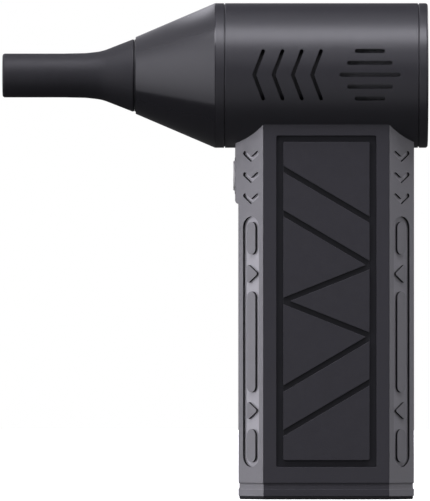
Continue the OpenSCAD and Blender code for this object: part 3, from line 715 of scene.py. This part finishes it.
def make_screen():
    """A woven wire screen: each wire passes over and under the ones it crosses."""
    low, high = box_mm("intake_screen")
    x = (low.x + high.x) / 2
    pitch = 1.3
    wire_r = 0.13
    weave = 0.13
    reach = 18.4
    rim_in, rim_out = 18.2, 19.5
    sides = 6
    points = []
    faces = []
    count = int(reach / pitch)
    for upright in (False, True):
        for i in range(-count, count + 1):
            across = i * pitch
            half = math.sqrt(reach ** 2 - across ** 2)
            steps = max(2, int(2 * half / (pitch / 2)))
            start = len(points)
            for k in range(steps + 1):
                along = -half + 2 * half * k / steps
                wave = weave * math.cos(math.pi * along / pitch + math.pi * i)
                wave = -wave if upright else wave
                for s in range(sides):
                    angle = 2 * math.pi * s / sides
                    dx = wave + wire_r * math.cos(angle)
                    dw = wire_r * math.sin(angle)
                    if upright:
                        points.append((x + dx, across + dw, AXIS_Z + along))
                    else:
                        points.append((x + dx, along, AXIS_Z + across + dw))
                if k:
                    for s in range(sides):
                        a = start + (k - 1) * sides
                        b = start + k * sides
                        faces.append([a + s, a + (s + 1) % sides, b + (s + 1) % sides, b + s])
            faces.append([start + s for s in range(sides)])
            end = start + steps * sides
            faces.append([end + s for s in range(sides)][::-1])
    wires = piece_from_faces("wires", points, faces)
    rim = ring(low.x, high.x, rim_in, rim_out, 0.12)
    screen = joined("intake_screen_skin", [wires, rim])
    smooth(screen, 50, weighted=False)
    finished(screen, "pump", "mesh_steel", ["intake_screen"], mesh_look)


# ---------- handle ----------

BULGE_OUT = 1.0
BULGE_LOW = 92.2
BULGE_ROUND = 1.2
END_WALL = 2.0
SIDE_WALL = 1.8
CORNER_WALL = 2.2
CAV_X = HALF_W - END_WALL
CAV_Y = PANEL_IN - SIDE_WALL
CAV_C = CAV_X + CAV_Y - (HALF_W + HALF_T - CHAMFER - CORNER_WALL * math.sqrt(2))
CORNER_X = HALF_W - CHAMFER / 2
CORNER_Y = HALF_T - CHAMFER / 2
POCKET_HALF = 3.5
POCKET_Z = (10.1, 88.2)
POCKET_DEPTH = 0.85
BOSS_HALF = 1.85
BOSS_DROP = 0.05
BOSS_SPANS = ((11.6, 21.9), (33.4, 64.8), (76.35, 86.5))
ARROW_SPANS = ((24.6, 30.8), (67.1, 73.6))
ARROW_BACK = 1.8
ARROW_RISE = 1.45
VEE_TOP = 108.6
VEE_PITCH = 6.6
VEE_ARM = (2.75, 1.85)
VEE_HALF = 0.7
VEE_DEPTH = 0.8
BUTTON_LOW, BUTTON_HIGH = box_mm("button_ring")
BUTTON_Z = (BUTTON_LOW.z + BUTTON_HIGH.z) / 2
RING_R = BUTTON_HIGH.y
USB_Z = 22.0
USB_HALF = 1.85
USB_REACH = 2.84
LENS_Z = (34.0, 37.5, 41.0)
LENS_R = 0.97
HANDLE_SEAM = 0.04


def half_outline(inset, bulge):
    """The left half's cross-section: outside from front to rear, then back along the cavity."""
    w = HALF_W - inset
    t = HALF_T - inset
    c = CHAMFER - inset * (2 - math.sqrt(2))
    seam = HANDLE_SEAM
    outer = [(-w - bulge, -seam), (-w - bulge, c - t + bulge, 0.5), (c - w, -t, 0.12),
             (c - w, -PANEL_IN), (w - c, -PANEL_IN), (w - c, -t, 0.12), (w, c - t, 0.5),
             (w, -seam)]
    inner = [(CAV_X, -seam), (CAV_X, CAV_C - CAV_Y), (CAV_X - CAV_C, -CAV_Y),
             (CAV_C - CAV_X, -CAV_Y), (-CAV_X, CAV_C - CAV_Y), (-CAV_X, -seam)]
    return rounded(outer + inner, steps=4)


def ring_at(outline, height):
    return [(p[0], p[1], height) for p in outline]


def on_corner(outline, depth, proud):
    """A tool on the rear left corner face: outline X runs towards the rear, Y up."""
    across = Vector((1, 1, 0)).normalized()
    normal = Vector((1, -1, 0)).normalized()
    origin = Vector((CORNER_X, -CORNER_Y, 0)) - normal * depth
    place = placing(origin, across, (0, 0, 1))
    return extruded("tool", outline, place, depth + proud)


def corner_tools():
    pocket = on_corner(stroke([(0, POCKET_Z[0] + POCKET_HALF), (0, POCKET_Z[1] - POCKET_HALF)],
                              POCKET_HALF, 16), POCKET_DEPTH, 1.0)
    bosses = [on_corner(stroke([(0, a + BOSS_HALF), (0, b - BOSS_HALF)], BOSS_HALF, 12),
                        POCKET_DEPTH + 0.5, -BOSS_DROP) for a, b in BOSS_SPANS]
    for a, b in ARROW_SPANS:
        half = (b - a) / 2
        arrow = rounded([(ARROW_BACK, a), (ARROW_BACK, b),
                         (ARROW_BACK - ARROW_RISE * half, a + half)], 0.55, 4)
        bosses.append(on_corner(arrow[::-1], POCKET_DEPTH + 0.5, -BOSS_DROP))
    cut(pocket, bosses)
    made = [pocket]
    for i in range(3):
        top = VEE_TOP - VEE_HALF - VEE_PITCH * i
        arm, rise = VEE_ARM
        vee = stroke([(-arm, top), (0, top - rise), (arm, top)], VEE_HALF)
        made.append(on_corner(vee, VEE_DEPTH, 1.0))
    return made


def rod(x0, x1, z, r, steps=64):
    """A round tool along X at a height."""
    angles = [2 * math.pi * k / steps for k in range(steps)]
    outline = [(r * math.cos(angle), z + r * math.sin(angle)) for angle in angles]
    return extruded("tool", outline, along_x(x0), x1 - x0)


def make_handle():
    plain = half_outline(0, 0)
    low = half_outline(GROOVE_DEPTH, 0)
    rings = [ring_at(low, SEAM_Z), ring_at(low, GROOVE_BEND),
             ring_at(plain, GROOVE_BEND + GROOVE_DEPTH), ring_at(plain, BULGE_LOW)]
    steps = 6
    for k in range(1, steps + 1):
        angle = math.pi / 2 * k / steps
        rings.append(ring_at(half_outline(0, BULGE_OUT * math.sin(angle)),
                             BULGE_LOW + BULGE_ROUND * (1 - math.cos(angle))))
    full = half_outline(0, BULGE_OUT)
    rings.append([(p[0], p[1], drop(p) + SINK) for p in full])
    half = lofted("handle_left_skin", rings)
    tools = corner_tools()
    tools += [mirrored(t, "tool", (1, 0, 0)) for t in tools]
    tools.append(rod(-HALF_W - 5, -CAV_X + 2, BUTTON_Z, RING_R + FIT))
    usb = stroke([(-USB_REACH, USB_Z), (USB_REACH, USB_Z)], USB_HALF, 12)
    tools.append(extruded("tool", usb, along_x(CAV_X - 2), 6))
    tools += [rod(CAV_X - 2, HALF_W + 2, z, LENS_R, 32) for z in LENS_Z]
    cut(half, tools)
    tidy(half, dissolve=0.3)
    soften(half, 0.11, 38)
    smooth(half, 38)
    dress_channels(half)
    looks = (handle_look, painted_light_channel_look, painted_light_rear_channel_look, painted_shade_wall_look)
    other = mirrored(half, "handle_right_skin", (0, 1, 0))
    smooth(other, 38)
    finished(half, "pump", "handle_grey", ["handle_left"], *looks)
    finished(other, "pump", "handle_grey", ["handle_right"], *looks)


def dress_channels(half):
    """Painted light on V marks and front channel floors (second material), weaker painted light on
    rear ones (third), painted shade on walls (fourth).
    """
    for face in half.data.polygons:
        c = face.center / MM
        out = Vector((math.copysign(1, c.x), math.copysign(1, c.y), 0)) / math.sqrt(2)
        depth = (CORNER_X + CORNER_Y) / math.sqrt(2) - out.dot(c)
        facing = out.dot(face.normal)
        across = abs(abs(c.x) - abs(c.y) - CORNER_X + CORNER_Y) / math.sqrt(2)
        if not (0.1 < depth < 0.9 and across < POCKET_HALF + 0.1 and c.z > POCKET_Z[0] - 0.5):
            continue
        if facing > 0.98 and depth > 0.7:
            face.material_index = 2 if c.x > 0 and c.z < POCKET_Z[1] else 1
        elif abs(facing) < 0.3:
            face.material_index = 3


def make_side_panel():
    profile = rounded([(-PANEL_IN - 0.1, SEAM_Z), (-HALF_T + GROOVE_DEPTH, SEAM_Z),
                       (-HALF_T + GROOVE_DEPTH, GROOVE_BEND),
                       (-HALF_T, GROOVE_BEND + GROOVE_DEPTH), (-HALF_T, PANEL_HIGH.z + SINK),
                       (-PANEL_IN - 0.1, PANEL_HIGH.z + SINK)])
    half = PANEL_HALF - FIT
    panel = extruded("side_panel_left_skin", profile[::-1], along_x(-half), 2 * half)
    window = rounded(oblong(WELL_HALF, *WELL_Z), 0.5, 4)
    tool = extruded("tool", window, from_left(WELL_DEPTH - HALF_T), 3)
    cut(panel, [tool])
    tidy(panel, dissolve=0.3)
    soften(panel, 0.14, 35)
    # Painted shade: the window floor takes the darker second material.
    paint_recess_shade(panel, 0.5, WELL_DEPTH + 0.02)
    return panel


def paint_recess_shade(piece, shallow, deep):
    """The second material, a painted shade, on faces whose middle lies between two depths below
    the side.
    """
    for face in piece.data.polygons:
        if shallow < face.center.y / MM + HALF_T < deep:
            face.material_index = 1


def make_grip():
    """The grip pad, with four slanting grooves and a V between them, even about its middle."""
    half = GRIP_HIGH.x
    groove_half = 0.875
    groove_depth = 0.7
    outline = rounded(oblong(half, GRIP_LOW.z, GRIP_HIGH.z), 0.5, 4)
    grip = extruded("grip_pad_left_skin", outline, from_left(WELL_DEPTH - HALF_T), 1.0)
    end = half + 3
    slant = 0.589
    vee_slant = 0.397
    tip_x = -half - 0.15
    lines = []
    for sign in (1, -1):
        for rise in (33.25, 19.45):
            lines.append([(-end, GRIP_MID + sign * (rise + slant * end)),
                          (end, GRIP_MID + sign * (rise - slant * end))])
    lines.append([(end, GRIP_MID + vee_slant * (end - tip_x)), (tip_x, GRIP_MID),
                  (end, GRIP_MID - vee_slant * (end - tip_x))])
    tools = [extruded("tool", stroke(line, groove_half), from_left(groove_depth - HALF_T), 2)
             for line in lines]
    cut(grip, tools, crossing=True)
    tidy(grip, dissolve=0.3)
    soften(grip, 0.12, 35)
    # Painted shade: the groove floors take the darker second material.
    paint_recess_shade(grip, 0.6, groove_depth + 0.02)
    return grip


def both_sides(piece, right_name, slot, left_node, right_node, *looks):
    smooth(piece, 35)
    other = mirrored(piece, right_name, (0, 1, 0))
    smooth(other, 35)
    finished(piece, "pump", slot, [left_node], *looks)
    finished(other, "pump", slot, [right_node], *looks)


# ---------- base ----------

def octagon(inset):
    """The handle's full cross-section, set in all round."""
    w = HALF_W - inset
    t = HALF_T - inset
    c = CHAMFER - inset * (2 - math.sqrt(2))
    return rounded([(w, c - t), (w, t - c), (w - c, t), (c - w, t), (-w, t - c), (-w, c - t),
                    (c - w, -t), (w - c, -t)], 0.5, 4)


def make_base():
    edge = 0.15
    wall = 2.4
    inset = 1.5
    groove_step = GROOVE_LOW + 0.02
    cap = lofted("base_cap_skin", [
        ring_at(octagon(edge), CAP_LOW.z), ring_at(octagon(0), CAP_LOW.z + edge),
        ring_at(octagon(0), GROOVE_LOW), ring_at(octagon(GROOVE_DEPTH), groove_step),
        ring_at(octagon(GROOVE_DEPTH), CAP_TOP), ring_at(octagon(GROOVE_DEPTH + wall), CAP_TOP),
        ring_at(octagon(GROOVE_DEPTH + wall), CAP_HIGH.z)])
    notch = rounded(oblong(PANEL_HALF, -HALF_T - 1, -HALF_T + inset))
    tool = extruded("tool", notch, Matrix.Identity(4), CAP_TOP + 0.1)
    cut(cap, [tool, mirrored(tool, "tool", (0, 1, 0))])
    tidy(cap, dissolve=0.3)
    soften(cap, 0.08, 38)
    smooth(cap, 38)
    finished(cap, "pump", "handle_grey", ["base_cap"], handle_look)

    deep = -HALF_T + inset - PANEL_GAP
    profile = [(deep, CAP_LOW.z), (-HALF_T + edge, CAP_LOW.z), (-HALF_T, CAP_LOW.z + edge),
               (-HALF_T, GROOVE_LOW), (-HALF_T + GROOVE_DEPTH, groove_step),
               (-HALF_T + GROOVE_DEPTH, CAP_TOP), (deep, CAP_TOP)]
    half = PANEL_HALF - FIT
    inlay = extruded("base_inlay_left_skin", profile[::-1], along_x(-half), 2 * half)
    soften(inlay, 0.08, 38)
    both_sides(inlay, "base_inlay_right_skin", "panel_plastic", "base_inlay_left",
               "base_inlay_right", panel_look)


def make_pad():
    inset = HALF_W - PAD_HIGH.x
    round_r = 0.45
    steps = 5
    rings = []
    for k in range(steps + 1):
        angle = math.pi / 2 * k / steps
        rings.append(ring_at(octagon(inset + round_r * (1 - math.sin(angle))),
                             PAD_LOW.z + round_r * (1 - math.cos(angle))))
    rings.append(ring_at(octagon(inset), PAD_HIGH.z))
    pad = lofted("base_pad_skin", rings)
    smooth(pad, 40)
    finished(pad, "pump", "foot_rubber", ["base_pad"], foot_look)


# ---------- power button ----------

def turned_at(name, outline, z, steps=96):
    """A closed outline of (x, radius) points turned about a line along X at a height."""
    piece = turned(name, outline, steps)
    piece.data.transform(Matrix.Translation((0, 0, (z - AXIS_Z) * MM)))
    return piece


def make_button():
    """A silver ring, and in it a dished button with a flange and a stem behind it."""
    hole_r = 4.85
    rim = turned_at("button_ring_skin", rounded([
        (BUTTON_LOW.x, hole_r, 0.25), (BUTTON_LOW.x, RING_R, 0.3), (BUTTON_HIGH.x, RING_R, 0.1),
        (BUTTON_HIGH.x, hole_r, 0.1)], steps=4), BUTTON_Z)
    smooth(rim, 40, weighted=False)
    finished(rim, "pump", "grille_plastic", ["button_ring"], ring_look)
    low, high = box_mm("power_button")
    face = low.x
    face_r = 4.7
    flange_r = 5.5
    stem_r = 1.5
    flange = face + 3.3
    flange_rear = flange + 0.9
    outline = rounded([
        (face + 0.35, 0.0), (face + 0.28, 2.4, 0.0), (face, 3.9, 1.2), (face, face_r, 0.55),
        (flange, face_r, 0.05), (flange, flange_r, 0.1), (flange_rear, flange_r, 0.1),
        (flange_rear, stem_r, 0.1), (high.x, stem_r, 0.2), (high.x, 0.0)], steps=6)
    button = turned_at("power_button_skin", outline, BUTTON_Z)
    smooth(button, 40, weighted=False)
    finished(button, "button", "button_metal", ["power_button"], button_look)


# ---------- impeller ----------

BLADES = 11
BLADE_ROOT_R = 5.0
BLADE_TIP_R = 17.35
BLADE_DEPTH = 8.6
LONGEST_CHORD = 12.0
ROOT_STAGGER = 28
ADDED_STAGGER = 24
CAMBER = 0.9
BLADE_HALF = 0.42


def blade_section(share, low, high):
    """One closed section of a blade, as (x, place round the hub in mm) points."""
    chord_steps = 8
    middle = (low + high) / 2
    stagger = math.radians(ROOT_STAGGER + ADDED_STAGGER * share)
    chord = min(LONGEST_CHORD, BLADE_DEPTH / math.cos(stagger))
    made = []
    for side in (1, -1):
        for j in range(chord_steps + 1):
            t = j / chord_steps
            t = t if side > 0 else 1 - t
            arch = math.sin(math.pi * t)
            thick = BLADE_HALF * math.sqrt(max(0.0, arch)) * (1 - 0.45 * share)
            along = (t - 0.5) * chord
            off = CAMBER * arch + side * thick
            x = middle + along * math.cos(stagger) - off * math.sin(stagger)
            made.append((max(low + 0.05, min(high - 0.05, x)),
                         along * math.sin(stagger) + off * math.cos(stagger)))
    return made


def make_impeller():
    """A machined hub with blades that twist from root to tip."""
    low, high = box_mm("impeller")
    shaft_r = 1.52
    stations = 7
    hub = turned("hub", rounded([(low.x, shaft_r), (low.x, 9.0, 0.3), (low.x + 2.0, 8.6, 6),
                                 (high.x, 5.5, 0.8), (high.x, shaft_r)], steps=6), 96)
    blades = []
    for k in range(BLADES):
        rings = []
        for i in range(stations):
            share = i / (stations - 1)
            r = BLADE_ROOT_R + (BLADE_TIP_R - BLADE_ROOT_R) * share
            rings.append([])
            for x, w in blade_section(share, low.x, high.x):
                turn = 2 * math.pi * k / BLADES + w / max(r, 6.0)
                rings[-1].append((x, r * math.sin(turn), AXIS_Z + r * math.cos(turn)))
        blades.append(lofted("blade", rings))
    wheel = joined("impeller_skin", [hub] + blades)
    smooth(wheel, 40, weighted=False)
    finished(wheel, "rotor", "fan_aluminium", ["impeller"], aluminium_look)


# ---------- carried-over CAD nodes ----------

CAD_LOOKS = {
    "tip_seal": seal_look, "cone_seal": seal_look, "fan_duct": duct_look,
    "duct_gaskets": seal_look, "lead_grommet": seal_look, "tail_cone": black_look,
    "motor_core": core_look, "motor_windings": copper_look, "motor_end_front": aluminium_look,
    "motor_end_rear": aluminium_look, "bearing_front": steel_look, "bearing_rear": steel_look,
    "motor_shaft": steel_look, "rotor_magnet": magnet_look, "impeller_nut": brass_look,
    "handle_screws": steel_look, "neck_frame": nylon_look, "neck_screws": steel_look,
    "button_switch": black_look, "switch_board": board_look, "control_board": board_look,
    "board_parts": black_look, "board_screws": steel_look, "usb_socket": steel_look,
    "indicator_lens": lens_look, "battery_cell_front": sleeve_look,
    "battery_cell_rear": sleeve_look, "battery_holder_top": black_look,
    "battery_holder_bottom": black_look, "battery_links": nickel_look,
    "battery_leads": red_look, "motor_leads": red_look, "switch_leads": wire_look,
    "base_screws": steel_look,
}


def dress_cad_nodes():
    for name, look in CAD_LOOKS.items():
        mesh = nodes[name].data
        for i in range(len(mesh.materials)):
            mesh.materials[i] = look


# ---------- studio ----------

LIGHT_TINT = (1.0, 0.985, 1.08)


def soft_light(name, place, aim, size, power, glossy=True):
    """A rectangular softbox at place, aimed at a point, all in metres and watts."""
    data = bpy.data.lights.new(name, "AREA")
    data.shape = "RECTANGLE"
    data.size, data.size_y = size
    data.energy = power
    data.color = LIGHT_TINT
    lamp = bpy.data.objects.new(name, data)
    lamp.location = place
    lamp.visible_camera = False
    lamp.visible_glossy = glossy
    lamp.rotation_euler = (Vector(aim) - Vector(place)).to_track_quat("-Z", "Y").to_euler()
    bpy.context.scene.collection.objects.link(lamp)


def nodes_for(owner, *kinds):
    """Clears the node tree of a world or material and gives it nodes of these kinds."""
    owner.use_nodes = True
    tree = owner.node_tree
    tree.nodes.clear()
    return tree.links.new, [tree.nodes.new("ShaderNode" + kind) for kind in kinds]


def glowing(name, points, faces, levels):
    """A clear mesh of the studio that only reflections see; each point has its own radiance."""
    data = bpy.data.meshes.new(name)
    data.from_pydata(points, [], faces)
    data.attributes.new("level", "FLOAT", "POINT").data.foreach_set("value", levels)
    card = piece_from(name, data)
    look = bpy.data.materials.new(name)
    link, (level, shine, out, clear, both) = nodes_for(
        look, "Attribute", "Emission", "OutputMaterial", "BsdfTransparent", "AddShader")
    level.attribute_name = "level"
    shine.inputs["Color"].default_value = (*LIGHT_TINT, 1.0)
    link(level.outputs["Fac"], shine.inputs["Strength"])
    link(clear.outputs["BSDF"], both.inputs[0])
    link(shine.outputs["Emission"], both.inputs[1])
    link(both.outputs["Shader"], out.inputs["Surface"])
    data.materials.append(look)
    card.visible_camera = False
    card.visible_shadow = False


def mirrored_way(turn):
    """Where the cone mirrors the line of sight, at an angle round it from its near side."""
    normal = Vector((-math.sin(CONE_SLOPE), -math.cos(CONE_SLOPE) * math.cos(turn),
                     math.cos(CONE_SLOPE) * math.sin(turn)))
    return Vector((0, 1, 0)).reflect(normal)


def cone_strip():
    """A glowing strip on the path that the nozzle cone mirrors towards the camera.

    Each level is the strip's radiance at an angle round the cone, from below its middle
    line to its top edge, so the cone shows one soft band that fades towards the top.
    """
    levels = ((-23.5, 0.8), (-18, 1.0), (-12, 1.4), (-6, 1.7), (0, 1.93), (6, 2.1), (12, 2.2),
              (18, 2.22), (22, 2.05), (26, 1.75), (30, 1.4), (34, 1.1), (40, 0.86), (46, 0.72),
              (52, 0.64), (58, 0.58), (64, 0.54), (70, 0.5), (76, 0.44), (82, 0.4), (88, 0.36))
    centre = Vector((-46, 0, AXIS_Z))
    reach = 1000
    half = 160
    points = []
    glow = []
    for degrees, level in levels:
        turn = math.radians(degrees)
        way = mirrored_way(turn)
        along = mirrored_way(turn + 0.01) - way
        side = way.cross(along).normalized()
        points += [(centre + way * reach + side * half * sign) * MM for sign in (-1, 1)]
        glow += [level, level]
    faces = [(i, i + 1, i + 3, i + 2) for i in range(0, len(points) - 2, 2)]
    glowing("cone_strip", points, faces, glow)


def cone_glow():
    """A small near card, mirrored only along the cone's upper edge beside the collar."""
    round_cone = ((49, 0.0), (52, 0.25), (55, 0.5), (58, 0.85), (61, 1.2), (64, 1.35),
                  (68, 1.35), (73, 0.95), (80, 0.3), (88, 0.12))
    along_cone = ((-51, 0.0), (-49, 0.06), (-46, 0.27), (-43, 0.52), (-40, 0.8), (-36, 1.0),
                  (-33, 1.0))
    reach = 120
    points = []
    glow = []
    for degrees, level in round_cone:
        turn = math.radians(degrees)
        for x, share in along_cone:
            r = BARREL_R + (x - COLLAR_FRONT) * math.tan(CONE_SLOPE)
            start = Vector((x, -r * math.cos(turn), AXIS_Z + r * math.sin(turn)))
            points.append((start + mirrored_way(turn) * reach) * MM)
            glow.append(level * share)
    n = len(along_cone)
    faces = [(i * n + k, i * n + k + 1, (i + 1) * n + k + 1, (i + 1) * n + k)
             for i in range(len(round_cone) - 1) for k in range(n - 1)]
    glowing("cone_glow", points, faces, glow)


def make_world():
    """White to the camera, and a faint even glow for everything else."""
    world = bpy.data.worlds.new("studio")
    bpy.context.scene.world = world
    link, (out, seen, glow, path, mix) = nodes_for(
        world, "OutputWorld", "Background", "Background", "LightPath", "MixShader")
    fill(seen, {"Color": (1, 1, 1, 1)})
    fill(glow, {"Color": (0.98, 0.98, 1, 1), "Strength": 0.07})
    link(path.outputs["Is Camera Ray"], mix.inputs["Fac"])
    link(glow.outputs["Background"], mix.inputs[1])
    link(seen.outputs["Background"], mix.inputs[2])
    link(mix.outputs["Shader"], out.inputs["Surface"])


def make_floor():
    """A plain white floor a hair below the base, which lights nothing."""
    reach = 2000
    below = -0.05
    corners = ring_at(oblong(reach, -reach, reach), below)
    data = bpy.data.meshes.new("floor")
    data.from_pydata([Vector(p) * MM for p in corners], [], [(0, 1, 2, 3)])
    floor = piece_from("floor", data)
    look = Shader("floor_white", (0.82, 0.82, 0.82), 0.8)
    look.vary_rough(40, 0.05)
    fill(look.main, {"Emission Color": (1, 1, 1, 1), "Emission Strength": 1.0})
    data.materials.append(look.material)
    floor.visible_diffuse = False
    floor.visible_glossy = False
    floor.visible_shadow = False


def make_studio():
    scene = bpy.context.scene
    scene.view_settings.view_transform = "Standard"
    scene.view_settings.look = "None"
    scene.cycles.max_bounces = 8
    make_world()
    middle = (0, 0, 0.10)
    barrel = (0, 0, AXIS_Z * MM)
    soft_light("overhead", (0.0, -0.26, 0.73), barrel, (0.9, 0.30), 5.4)
    soft_light("top", (0.0, 0.16, 1.05), barrel, (0.9, 0.5), 0.7)
    soft_light("left", (-0.98, -0.16, 0.16), middle, (0.5, 0.6), 2.2)
    cone_strip()
    cone_glow()
    soft_light("right", (0.95, -0.25, 0.15), middle, (0.5, 0.6), 0.6)
    soft_light("front", (0.2, -2.2, 1.3), middle, (1.2, 0.8), 3.4)
    soft_light("front_low", (0.1, -1.5, -0.45), barrel, (1.2, 1.4), 2.3)
    soft_light("back_left", (-1.5, 1.3, 0.9), middle, (0.9, 0.9), 9.0)
    soft_light("back_right", (1.5, 1.3, 0.9), middle, (0.9, 0.9), 9.0)
    soft_light("front_right", (1.5, -0.9, 0.7), middle, (0.5, 0.9), 3.0)
    soft_light("back", (-0.2, 2.2, 1.0), middle, (1.2, 0.8), 42.0, glossy=False)
    make_floor()


def make_camera():
    """Square on to the left side, from far away through a long lens."""
    frame_height = 156.56
    aim_x = -34.7
    aim_z = 77.6
    lens = 1200.0
    sensor = 36.0
    data = bpy.data.cameras.new("camera")
    data.lens = lens
    data.sensor_fit = "AUTO"
    data.sensor_width = sensor
    distance = frame_height * lens / sensor
    camera = bpy.data.objects.new("camera", data)
    camera.location = (aim_x * MM, -distance * MM, aim_z * MM)
    camera.rotation_euler = (math.pi / 2, 0, 0)
    data.clip_end = 100
    bpy.context.scene.collection.objects.link(camera)
    bpy.context.scene.camera = camera


make_camera()
make_tip()
make_cone()
make_barrel()
make_bezel()
make_grille()
make_screen()
make_handle()
both_sides(make_side_panel(), "side_panel_right_skin", "panel_plastic", "side_panel_left",
           "side_panel_right", panel_look, painted_shade_well_look)
both_sides(make_grip(), "grip_pad_right_skin", "grip_rubber", "grip_pad_left", "grip_pad_right",
           grip_look, painted_shade_groove_look)
make_base()
make_pad()
make_button()
make_impeller()
dress_cad_nodes()
make_studio()
